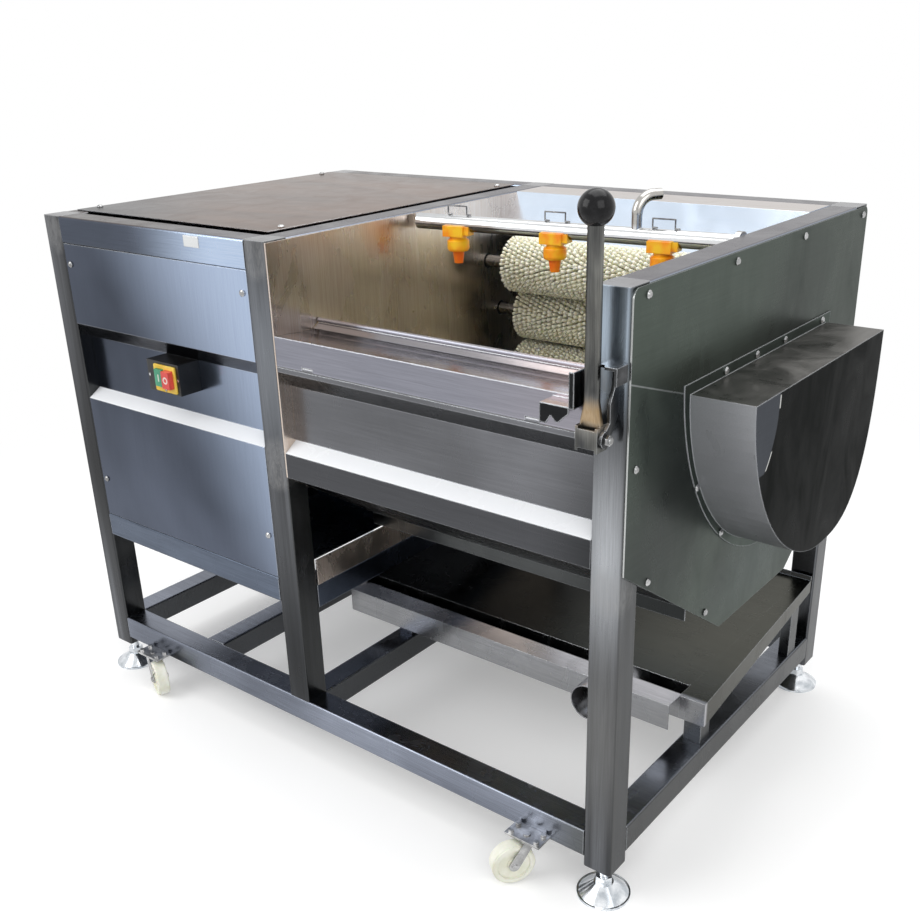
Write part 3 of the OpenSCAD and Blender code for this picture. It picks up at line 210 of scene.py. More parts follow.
def blend_of(tree, share, a, b, kind="MIX"):
    """Colour a turned towards colour b by a share from 0 to 1."""
    made = node(tree, "MixRGB", blend_type=kind)
    for i, part in enumerate((share, a, b)):
        if isinstance(part, (int, float)):
            made.inputs[i].default_value = part
        elif isinstance(part, tuple):
            made.inputs[i].default_value = (*part, 1)
        else:
            tree.links.new(part, made.inputs[i])
    return made.outputs[0]


def finish(name, metallic, rough):
    """A new material and its tree, its shader and the object coordinates that its patterns follow."""
    made = bpy.data.materials.new(name)
    made.use_nodes = True
    tree = made.node_tree
    shader = tree.nodes["Principled BSDF"]
    shader.inputs["Metallic"].default_value = metallic
    shader.inputs["Roughness"].default_value = rough
    place = node(tree, "TexCoord").outputs["Object"]
    return made, tree, shader, place


def relief(tree, shader, height, depth, edge=SOFT_EDGE):
    """Fine relief of the surface over softly rounded edges; gives back the rounded edges' normal."""
    soft = node(tree, "Bevel", samples=EDGE_SAMPLES)
    soft.inputs["Radius"].default_value = edge
    bump = node(tree, "Bump")
    bump.inputs["Strength"].default_value = 1.0
    bump.inputs["Distance"].default_value = depth
    tree.links.new(height, bump.inputs["Height"])
    tree.links.new(soft.outputs[0], bump.inputs["Normal"])
    tree.links.new(bump.outputs[0], shader.inputs["Normal"])
    return soft.outputs[0]


def linear(*tone):
    """A colour as a screen shows it, from 0 to 255, made linear for the shaders."""
    parts = [part / 255 for part in (tone if len(tone) == 3 else tone * 3)]
    return tuple(part / 12.92 if part <= 0.04045 else ((part + 0.055) / 1.055) ** 2.4 for part in parts)


def dot_of(tree, vector, direction):
    """How far a vector runs along a fixed direction."""
    made = node(tree, "VectorMath", operation="DOT_PRODUCT")
    tree.links.new(vector, made.inputs[0])
    made.inputs[1].default_value = direction
    return made.outputs["Value"]


def onward(tree, place, start, end):
    """Nought before one place, one beyond another, and a smooth rise between them; places are in the
    corner's millimetres."""
    way = np.array(at(*end)) - np.array(at(*start))
    way /= way @ way
    made = node(tree, "MapRange", interpolation_type="SMOOTHSTEP")
    made.inputs["From Min"].default_value = float(way @ np.array(at(*start)))
    made.inputs["From Max"].default_value = float(way @ np.array(at(*end)))
    tree.links.new(dot_of(tree, place, tuple(way)), made.inputs["Value"])
    return made.outputs[0]


def around(tree, place, centre, reach):
    """One at a centre, falling smoothly to nought at a reach that may differ along x, y and z."""
    shift = node(tree, "VectorMath", operation="SUBTRACT")
    tree.links.new(place, shift.inputs[0])
    shift.inputs[1].default_value = at(*centre)
    size = node(tree, "VectorMath", operation="MULTIPLY")
    tree.links.new(shift.outputs[0], size.inputs[0])
    size.inputs[1].default_value = tuple(1 / (r * MM) for r in reach)
    far = node(tree, "VectorMath", operation="LENGTH")
    tree.links.new(size.outputs[0], far.inputs[0])
    made = node(tree, "MapRange", interpolation_type="SMOOTHSTEP")
    made.inputs["From Min"].default_value = 1.0
    made.inputs["From Max"].default_value = 0.0
    tree.links.new(far.outputs["Value"], made.inputs["Value"])
    return made.outputs[0]


# A painted reflection of the sky, laid on faces that look up.
SKY = linear(250, 252, 255)
GROUND_TONE = linear(150)                  # steel ground bare at a weld
RUBBED_AND_HIGHLIT_TONE = linear(205, 208, 212)        # steel rubbed bright along an edge, and the painted highlight that a rounded edge catches
CLOUD_FROM, CLOUD_TO = 0.36, 0.66          # noise between the dark tone and the pale one
GRAIN_SCALE, GRAIN_DEPTH = 520, 0.00003
SMEAR_SCALE, SCRATCH_SCALE = 14, 190
RAGGED = 0.03                              # how far a ground patch's outline wanders
RUBBED_HIGHLIT_FROM, RUBBED_HIGHLIT_TO = 0.99, 0.9         # cosines of a rounded edge's turn where rubbing and its painted highlight show
FACING = (0.5, 0.9)                        # cosines where a face starts, and is, turned a way
ACROSS = {"x": (0.02, 1, 1), "y": (1, 0.02, 1), "z": (1, 1, 0.02)}


def steel(name, dark, pale, rough=0.28, grain="x", grain_share=0.22, cloud=3.0, clouds=(1, 1, 1),
          shades=(), spots=(), sides=(), patches=(), wear_and_highlight=0.45, edge=SOFT_EDGE, rim=0.85, satin=None,
          extra=None):
    """Brushed stainless sheet. Slow clouds run between a dark and a pale tone, for smudges and for
    painted reflections. Over them come shades that grow from one place to another, spots round a
    centre, and sides that face a given way; mostly these paint light, shade and reflections into the
    tone, and at places a part's own tone. Then come fine lines along the grain, smears that change the
    gloss, edges made paler for rubbing and for a painted highlight, and ground patches at welds. The
    rim dims what shows at a grazing look. A painted bright side takes a tone of painted light and
    scatters light more than it mirrors it. Extra is a function that changes the tone last of all."""
    made, tree, shader, place = finish(name, 1.0, rough)
    shader.inputs["Specular Tint"].default_value = (rim, rim, rim, 1)
    slow = ramp(tree, noise(tree, place, cloud, 3, clouds, 0.55, 0.4),
                CLOUD_FROM, CLOUD_TO)
    tone = blend_of(tree, slow, dark, pale)
    for start, end, colour, share in shades:
        tone = blend_of(tree, sum_of(tree, "MULTIPLY", onward(tree, place, start, end), share), tone,
                        colour)
    for centre, reach, colour, share in spots:
        tone = blend_of(tree, sum_of(tree, "MULTIPLY", around(tree, place, centre, reach), share), tone,
                        colour)
    own_normal = node(tree, "TexCoord").outputs["Normal"]
    # Sides that face a given way are painted lighter or darker, as light and shade.
    for direction, low, high, colour, share in sides:
        turned = ramp(tree, dot_of(tree, own_normal, direction), low, high, 0, share)
        tone = blend_of(tree, turned, tone, colour)
    # A painted bright side: a tone of painted light, and less metal so that the lamps light it.
    if satin:
        direction, low, high, colour, most = satin
        share = ramp(tree, dot_of(tree, own_normal, direction), low, high, 0, most)
        tone = blend_of(tree, share, tone, colour)
        tree.links.new(sum_of(tree, "SUBTRACT", 1.0, share), shader.inputs["Metallic"])
    if extra:
        tone = extra(tree, place, own_normal, tone)
    lines = noise(tree, place, GRAIN_SCALE, 3, ACROSS[grain], 0.7)
    tone = blend_of(tree, grain_share, tone, ramp(tree, lines, 0.3, 0.7), "OVERLAY")
    smear = noise(tree, place, SMEAR_SCALE, 4, (1, 1, 0.5), 0.6, 0.8)
    gloss = ramp(tree, smear, 0.3, 0.7, rough * 0.75, rough * 1.35)
    for centre, reach in patches:
        away = node(tree, "VectorMath", operation="DISTANCE")
        tree.links.new(place, away.inputs[0])
        away.inputs[1].default_value = at(*centre)
        ragged = sum_of(tree, "ADD", away.outputs["Value"], ramp(tree, smear, 0, 1, -RAGGED, RAGGED))
        ground = ramp(tree, ragged, reach * MM, reach * MM * 0.6)
        scratch = ramp(tree, noise(tree, place, SCRATCH_SCALE, 4, (1, 1, 0.25), 0.7, 1.5),
                       0.35, 0.75, 0.1, 0.6)
        tone = blend_of(tree, sum_of(tree, "MULTIPLY", ground, scratch), tone, GROUND_TONE)
        gloss = sum_of(tree, "ADD", gloss, sum_of(tree, "MULTIPLY", ground, 0.1))
    soft = relief(tree, shader, lines, GRAIN_DEPTH, edge)
    bend = node(tree, "VectorMath", operation="DOT_PRODUCT")
    tree.links.new(soft, bend.inputs[0])
    tree.links.new(node(tree, "NewGeometry").outputs["Normal"], bend.inputs[1])
    # Edges painted paler: partly rubbed steel, partly a painted highlight.
    rubbed_and_highlit = ramp(tree, bend.outputs["Value"], RUBBED_HIGHLIT_FROM, RUBBED_HIGHLIT_TO, 0, wear_and_highlight)
    tone = blend_of(tree, rubbed_and_highlit, tone, RUBBED_AND_HIGHLIT_TONE)
    tree.links.new(tone, shader.inputs["Base Color"])
    tree.links.new(gloss, shader.inputs["Roughness"])
    return made


def coat(material, *names):
    """Gives CAD nodes their finish, by each one's own material slots."""
    for name in names:
        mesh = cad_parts[name].data
        if not mesh.materials:
            mesh.materials.append(material)
        for i in range(len(mesh.materials)):
            mesh.materials[i] = material


UP, FRONT, RIGHT_SIDE = (0, 0, 1), (0, -1, 0), (1, 0, 0)
DOWN, REAR_SIDE = (0, 0, -1), (0, 1, 0)
# Painted reflections and shade on the posts: clouds stretched upright make bright and dark bands, the
# spots paler and darker patches, tops are painted pale and right sides dark.
post_steel = steel(
    "post_steel", linear(66, 67, 69), linear(104, 106, 110), 0.22, "z", 0.14, 34.0, (1, 1, 0.02),
    spots=[((-25, 0, 560), (80, 26, 230), linear(176, 179, 183), 0.75),
           ((-25, 0, 880), (80, 26, 160), linear(172, 186, 200), 0.9),
           ((-25, 0, 250), (80, 30, 260), linear(112, 112, 111), 0.6),
           ((-690, 0, 740), (80, 30, 260), linear(128, 132, 138), 0.85),
           ((-690, 0, 160), (80, 60, 360), linear(40, 41, 42), 0.85),
           ((-1265, 0, 420), (80, 60, 420), linear(46, 47, 48), 0.85)],
    sides=[(UP, *FACING, linear(152, 152, 154), 0.9),
           (RIGHT_SIDE, *FACING, linear(72, 73, 73), 0.7)], edge=FOLD_EDGE, wear_and_highlight=0.35,
    patches=(((-694, 0, 545), 52), ((-25, 0, 500), 50), ((-1265, 0, 905), 40),
             ((-690, 0, 905), 40), ((-25, 0, 812), 26)))


def blank_plate(tree, place, normal, tone):
    """The small plate stands proud of the rail's front, at a y below nought, and is pale and bare."""
    parts = node(tree, "SeparateXYZ")
    tree.links.new(place, parts.inputs[0])
    proud = ramp(tree, parts.outputs["Y"], at(0, -0.2, 0)[1], at(0, -0.5, 0)[1])
    return blend_of(tree, proud, tone, linear(226, 228, 228))


# Painted reflections on the header rail: a pale blue one grows towards its right end and a warm one of
# the room lies on its rear top; its top and right side get tones of painted light.
header_steel = steel(
    "header_steel", linear(78, 84, 96), linear(100, 107, 122), 0.22, "x", 0.1, 3.0, (0.4, 1, 1),
    shades=[((-1040, 0, 900), (-780, 0, 900), linear(190, 207, 232), 0.95)],
    spots=[((-400, 730, 938), (300, 60, 30), linear(214, 178, 140), 0.9)],
    sides=[(UP, *FACING, linear(106, 96, 92), 0.85),
           (RIGHT_SIDE, *FACING, linear(120, 118, 116), 0.7)],
    edge=FOLD_EDGE, rim=0.7, extra=blank_plate)
# Painted shade on the floor rails: darker towards their right end, underneath and on right sides; their
# tops get a tone of painted light.
rail_steel = steel(
    "rail_steel", linear(104, 109, 120), linear(150, 156, 170), 0.24, "x", 0.18, 4.0, (0.4, 1, 1),
    shades=[((-150, 0, 40), (-50, 0, 40), linear(88, 90, 89), 0.85)],
    sides=[(UP, *FACING, linear(124, 128, 138), 0.55), (DOWN, *FACING, linear(60), 0.8),
           (RIGHT_SIDE, *FACING, linear(74, 75, 75), 0.9)],
    edge=FOLD_EDGE)
# The cabinet rails are a darker copy of the rail steel: painted shade.
shaded_cabinet_rail_steel = steel(
    "shaded_cabinet_rail_steel", linear(70, 77, 90), linear(96, 105, 120), 0.24, "x", 0.18, 4.0, (0.4, 1, 1),
    edge=FOLD_EDGE)
coat(post_steel, "posts")
coat(header_steel, "top_rails")
coat(rail_steel, "floor_rails")
coat(shaded_cabinet_rail_steel, "cabinet_rails")

# Cabinet. Folded stainless sheet: the front door with its pressed step, the screwed top cover, the side
# and back in one wrap, and the floor sheet that carries the motor. On the door a pale bluish painted
# reflection grows towards its upper right; the step's lower slope is a painted reflection of the sky,
# and its upper one, which faces down, is painted dark as a reflection of the ground.
# Painted reflections: pale bluish towards the upper right, the sky on the slope facing up, dark on the
# one facing down.
door_steel = steel(
    "door_steel", linear(64, 70, 82), linear(88, 95, 110), 0.2, "z", 0.05, 2.4, (1, 1, 0.8),
    shades=[((-1080, 0, 700), (-740, 0, 900), linear(184, 200, 226), 0.9)],
    sides=[(DOWN, 0.18, 0.32, linear(60, 62, 69), 0.95)], satin=(UP, 0.3, 0.5, SKY, 0.95),
    edge=FOLD_EDGE)
# The top cover's warm tones are a painted reflection of the room's orange light, and a darker painted
# reflection lies over its left corner.
cover_steel = steel(
    "cover_steel", linear(126, 106, 94), linear(166, 134, 114), 0.16, "x", 0.12, 3.4, (0.35, 1.5, 1),
    shades=[((-1060, 320, 930), (-1260, 120, 930), linear(84, 84, 88), 0.9)],
    edge=FOLD_EDGE, wear_and_highlight=0.8, rim=0.6)
wrap_steel = steel("wrap_steel", linear(104, 108, 116), linear(160, 164, 172), 0.26, "z", 0.12, 2.4,
                   (1, 1, 0.8))
coat(door_steel, "cabinet_door")
coat(cover_steel, "top_cover")
coat(wrap_steel, "cabinet_wrap", "cabinet_floor")

# Trough. Bent stainless sheet: the partition that carries the left bearings, the rear sheet with its
# sloping shoulder, and the front panel that runs down into the apron. Light is painted into their
# tones. The partition's tones are lifted far above the sheet's own to make up for the trough's shade,
# with a painted shade near the rollers. The rear sheet's pale bluish tones are a painted reflection of
# the sky, and its shoulder a warm painted reflection. On the front panel the sheet below the step and
# the apron are painted dark as shade, darkest towards the right end; the step's upper slope is painted
# dark as shade and its lower slope is a painted reflection of the sky.
# Tones lifted to make up for the trough's shade; the spot is painted shade near the rollers.
partition_steel = steel(
    "partition_steel", linear(206, 190, 178), linear(240, 226, 212), 0.26, "z", 0.2, 3.0, (1, 1, 0.4),
    spots=[((-667, 590, 690), (60, 210, 300), linear(116, 110, 96), 0.7)])
# Pale bluish tones and a warm shoulder: painted reflections.
rear_steel = steel(
    "rear_steel", linear(205, 218, 234), linear(226, 236, 248), 0.2, "x", 0.06, 2.5, (0.6, 1, 1),
    sides=[(UP, 0.9, 0.98, linear(205, 190, 178), 0.8)])
# Dark bands and apron painted as shade; the slope facing down painted dark, the one facing up a painted
# sky.
front_steel = steel(
    "front_steel", linear(96, 97, 100), linear(134, 135, 140), 0.24, "x", 0.1, 2.4, (0.6, 1, 1),
    shades=[((-400, 0, 585), (-400, 0, 572), linear(70, 71, 74), 0.9),
            ((-400, 0, 530), (-400, 0, 500), linear(70, 72, 72), 0.9),
            ((-200, 60, 480), (-40, 100, 440), linear(34, 36, 36), 0.8)],
    sides=[(DOWN, 0.5, 0.6, linear(52, 53, 55), 0.9)], satin=(UP, 0.5, 0.7, SKY, 1.0),
    edge=FOLD_EDGE)
coat(partition_steel, "partition")
coat(rear_steel, "rear_sheet")
coat(front_steel, "front_panel")

# End panel. A flat plate screwed to the frame, of duller sheet. Its dark, faintly green tones are
# painted shade with a painted green reflection of the room; its paler and darker patches are painted
# light and shade, and its front edge is a painted highlight. A fine crease runs down from its front
# edge to the drive guard, and a painted highlight lies along it.
CREASE_START, CREASE_END = (0, 6, 807), (0, 169, 752)
CREASE_HALF = 0.0016                       # half the crease's width with its soft sides


def crease_highlight(tree, place, normal, tone):
    """Paints a highlight along a thin straight line in the panel's plane, where it was creased."""
    parts = node(tree, "SeparateXYZ")
    tree.links.new(place, parts.inputs[0])
    start, end = np.array(at(*CREASE_START)), np.array(at(*CREASE_END))
    slope = (end[2] - start[2]) / (end[1] - start[1])
    line = sum_of(tree, "ADD", sum_of(tree, "MULTIPLY", parts.outputs["Y"], float(slope)),
                  float(start[2] - slope * start[1]))
    off = sum_of(tree, "ABSOLUTE", sum_of(tree, "SUBTRACT", parts.outputs["Z"], line), 0)
    share = sum_of(tree, "MULTIPLY", ramp(tree, off, CREASE_HALF, 0.0006), ramp(
        tree, parts.outputs["Y"], float(end[1]), float(end[1]) - 0.01, 0, 0.6))
    return blend_of(tree, share, tone, linear(190, 194, 194))


# Painted shade and reflection: dark green-grey tones, paler and darker patches, and a painted highlight
# on the front edge.
panel_steel = steel(
    "panel_steel", linear(66, 72, 68), linear(84, 93, 86), 0.3, "y", 0.08, 2.0, (1, 1, 0.9),
    shades=[((3, 430, 720), (3, 300, 930), linear(84, 93, 86), 0.8)],
    spots=[((3, 120, 560), (60, 200, 200), linear(62, 66, 64), 0.8),
           ((3, 470, 380), (60, 260, 110), linear(80, 88, 85), 0.8)],
    sides=[(FRONT, *FACING, linear(200, 202, 200), 0.9)], rim=0.7, extra=crease_highlight)
coat(panel_steel, "end_panel")

# Drive guard. A D-shaped box folded round the roller drive. Its wrap and its face are two sheets that
# meet along a curve on the face and are held there by short bright welds; between them the joint stays
# dark. Two small holes are drilled in the face, and their shade is painted as nearly black dots. Light
# and shade are painted into the tones: the face, turned right, is painted near black as shade, with a
# painted sheen low on it; the wrap's front is painted pale and lighter upwards, its top lighter and its
# rear darker.
SEAM_LOW, SEAM_Y, SEAM_BEND = 638, 251, 0.0045
SEAM_STRAIGHT = 726                        # height above which the joint runs straight up
SEAM_HALF, TACK_HALF = 0.0022, 0.0024      # half their widths with their soft sides
FACE_FROM, FACE_X = 104, 104.8             # the outer face starts between these
FLANGE_X, FLANGE_TO = 8, 12                # the flange on the panel ends between these
HOLE_R = 6
FLANGE_TONE = linear(84, 92, 87)
TACKS = ((749, 727), (668, 641))           # heights between which a tack weld fills the joint
HOLES = ((396.9, 727.9), (393.3, 677.5))


def seam(tree, place, normal, tone):
    """Depth of the joint's line at a height z is its depth at the top less a bend times the square of
    what z is below the bend's start. The line is dark, and bright where it is tacked. A painted sheen
    lies low on the face, and the holes' shade is painted as nearly black dots. The flange on the panel
    is as pale as the panel."""
    parts = node(tree, "SeparateXYZ")
    tree.links.new(place, parts.inputs[0])
    y, z = parts.outputs["Y"], parts.outputs["Z"]
    below = sum_of(tree, "MAXIMUM", sum_of(tree, "SUBTRACT", float(at(0, 0, SEAM_STRAIGHT)[2]), z), 0.0)
    line = sum_of(tree, "SUBTRACT", float(at(0, SEAM_Y, 0)[1]),
                  sum_of(tree, "MULTIPLY", sum_of(tree, "MULTIPLY", below, below), SEAM_BEND / MM))
    off = sum_of(tree, "ABSOLUTE", sum_of(tree, "SUBTRACT", y, line), 0)
    face = ramp(tree, parts.outputs["X"], at(FACE_FROM, 0, 0)[0], at(FACE_X, 0, 0)[0])
    face = sum_of(tree, "MULTIPLY", face,
                  ramp(tree, z, at(0, 0, SEAM_LOW)[2], at(0, 0, SEAM_LOW + 2)[2]))
    outer = ramp(tree, sum_of(tree, "SUBTRACT", line, y), -0.001, 0.004)
    tone = blend_of(tree, sum_of(tree, "MULTIPLY", sum_of(tree, "MULTIPLY", face, outer), 0.8), tone,
                    linear(84, 88, 95))
    joint = sum_of(tree, "MULTIPLY", face, ramp(tree, off, SEAM_HALF, 0.0012))
    tone = blend_of(tree, joint, tone, linear(12))
    for high, low in TACKS:
        tack = sum_of(tree, "MULTIPLY", ramp(tree, z, at(0, 0, low)[2], at(0, 0, low + 2)[2]),
                      ramp(tree, z, at(0, 0, high)[2], at(0, 0, high - 2)[2]))
        tack = sum_of(tree, "MULTIPLY", tack,
                      sum_of(tree, "MULTIPLY", face, ramp(tree, off, TACK_HALF, 0.001)))
        tone = blend_of(tree, tack, tone, linear(225, 225, 222))
    # A painted sheen low on the face.
    painted_sheen = sum_of(tree, "MULTIPLY", around(tree, place, (105, 290, 560), (20, 130, 90)), face)
    tone = blend_of(tree, sum_of(tree, "MULTIPLY", painted_sheen, 0.6), tone, linear(58, 62, 62))
    flange = sum_of(tree, "MULTIPLY",
                    ramp(tree, parts.outputs["X"], at(FLANGE_TO, 0, 0)[0], at(FLANGE_X, 0, 0)[0]),
                    ramp(tree, dot_of(tree, normal, RIGHT_SIDE), 0.9, 0.97))
    tone = blend_of(tree, flange, tone, FLANGE_TONE)
    # The holes' shade, painted as nearly black dots.
    for deep, high in HOLES:
        tone = blend_of(tree, around(tree, place, (105, deep, high), (HOLE_R,) * 3), tone, linear(6))
    return tone


# Painted light and shade: the face near black, the wrap's front pale and lighter upwards, the top
# lighter, the rear darker.
guard_steel = steel(
    "guard_steel", linear(74, 78, 80), linear(98, 100, 102), 0.34, "y", 0.08, 3.2, (1, 1, 1.2),
    shades=[((50, 200, 560), (50, 190, 700), linear(176, 177, 183), 0.9)],
    sides=[(UP, 0.85, 0.97, linear(140, 138, 134), 0.9),
           (REAR_SIDE, 0.3, 0.8, linear(70, 74, 73), 0.7),
           (RIGHT_SIDE, 0.9, 0.97, linear(13, 16, 15), 1.0)],
    satin=(FRONT, 0.25, 0.8, linear(166, 168, 172), 0.75),
    extra=seam, wear_and_highlight=0.6, edge=FOLD_EDGE, rim=0.55)
coat(guard_steel, "drive_guard")

# Brush rollers. Each has a nylon sleeve drilled in staggered rows, with bundles of ivory bristles
# pulled into it. A bundle is as thick as a pencil, spreads towards its tip, leans a little to the left
# as its neighbours push it, and is cut to one length.
ROLLERS = range(1, 9)
SEED = 40                                  # a roller's own number is added to it
ROWS = 45
ROUND = 40
TUFT_SIDES = 7
TUFT_AT = np.array((26.0, 34.0, 43.0, 51.0, 54.3))     # distances from the axis along a bundle
TUFT_X = np.array((1.8, 2.1, 2.5, 3.1, 3.0))           # half width along the roller there
TUFT_T = np.array((1.8, 2.2, 2.7, 3.4, 3.4))           # half width round the roller there
TIP_DOME = 0.15
TIP_LIMIT = 54.9                           # no point of a bundle lies farther from the axis
LEAN_ALONG, LEAN_ROUND = -5.0, 1.6         # mean lean of a tip along the roller and round it
LEAN_WAVE = 1.1
PAIRING = 1.5                              # lean of every other bundle towards its neighbour
ROOT_SHIFT = 0.45                          # share of the lean by which a root stands the other way
TRIM = 0.8                                 # how much shorter than the rest a bundle may be cut
END_GAP = 0.1                              # between a bundle and the brush's ends
SLEEVE_R, SLEEVE_BORE, SLEEVE_SIDES = 27.0, 22.0, 72

IVORY, IVORY_PALE = linear(246, 243, 218), linear(254, 253, 238)
SHADED = linear(196, 190, 156)
# Dirt at the roots, and the shade between the bundles painted in.
ROOT_SHADE_AND_DIRT = linear(104, 98, 76)
SCATTER = (0.006, 0.005, 0.003)            # how far red, green and blue light travel inside
bristle, tree, shader, place = finish("bristle", 0.0, 0.5)
deep = node(tree, "Attribute", attribute_name="reach").outputs["Fac"]
own = node(tree, "Attribute", attribute_name="own").outputs["Fac"]
round_it = node(tree, "Attribute", attribute_name="turn").outputs["Fac"]
strand = node(tree, "CombineXYZ")
tree.links.new(sum_of(tree, "MULTIPLY", round_it, 9.0), strand.inputs["X"])
tree.links.new(sum_of(tree, "MULTIPLY", own, 97.0), strand.inputs["Y"])
tree.links.new(deep, strand.inputs["Z"])
hair = noise(tree, strand.outputs[0], 2.0, 3, (1, 1, 0.4), 0.7)
tone = blend_of(tree, own, IVORY, IVORY_PALE)
tone = blend_of(tree, ramp(tree, hair, 0.4, 0.7, 0.0, 0.2), tone, SHADED)
# Towards their roots the bundles are darker: dirt, and painted shade between them.
tone = blend_of(tree, ramp(tree, deep, 0.34, 0.05, 0.0, 0.9), tone, ROOT_SHADE_AND_DIRT)
tree.links.new(tone, shader.inputs["Base Color"])
shader.inputs["Subsurface Weight"].default_value = 0.25
shader.inputs["Subsurface Radius"].default_value = SCATTER
lift = node(tree, "Bump")
lift.inputs["Distance"].default_value = 0.0004
tree.links.new(hair, lift.inputs["Height"])
tree.links.new(lift.outputs[0], shader.inputs["Normal"])


def sheet_of(name, points, faces, material, rides, attributes):
    """A new smooth piece from an array of points and a list of arrays of faces; attributes hold one
    number for each point."""
    mesh = bpy.data.meshes.new(name)
    mesh.vertices.add(len(points))
    mesh.vertices.foreach_set("co", np.asarray(points, np.float32).ravel())
    sizes = np.concatenate([np.full(len(f), f.shape[1], np.int32) for f in faces])
    corners = np.concatenate([f.ravel() for f in faces])
    mesh.loops.add(len(corners))
    mesh.loops.foreach_set("vertex_index", corners.astype(np.int32))
    mesh.polygons.add(len(sizes))
    starts = np.concatenate(([0], np.cumsum(sizes)[:-1])).astype(np.int32)
    mesh.polygons.foreach_set("loop_start", starts)
    mesh.polygons.foreach_set("loop_total", sizes)
    mesh.update(calc_edges=True)
    mesh.polygons.foreach_set("use_smooth", [True] * len(sizes))
    for key, numbers in attributes.items():
        mesh.attributes.new(key, "FLOAT", "POINT").data.foreach_set("value", numbers.astype(np.float32))
    mesh.validate()
    piece = bpy.data.objects.new(name, mesh)
    bpy.context.scene.collection.objects.link(piece)
    mesh.materials.append(material)
    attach(piece, rides)
    return piece


def grid_faces(rows, columns):
    """Quads of a grid of rows by columns, whose columns close into a ring."""
    i = np.arange(rows - 1)[:, None]
    j = np.arange(columns)[None, :]
    k = (j + 1) % columns
    return np.stack([i * columns + j, i * columns + k, (i + 1) * columns + k, (i + 1) * columns + j],
                    -1).reshape(-1, 4)


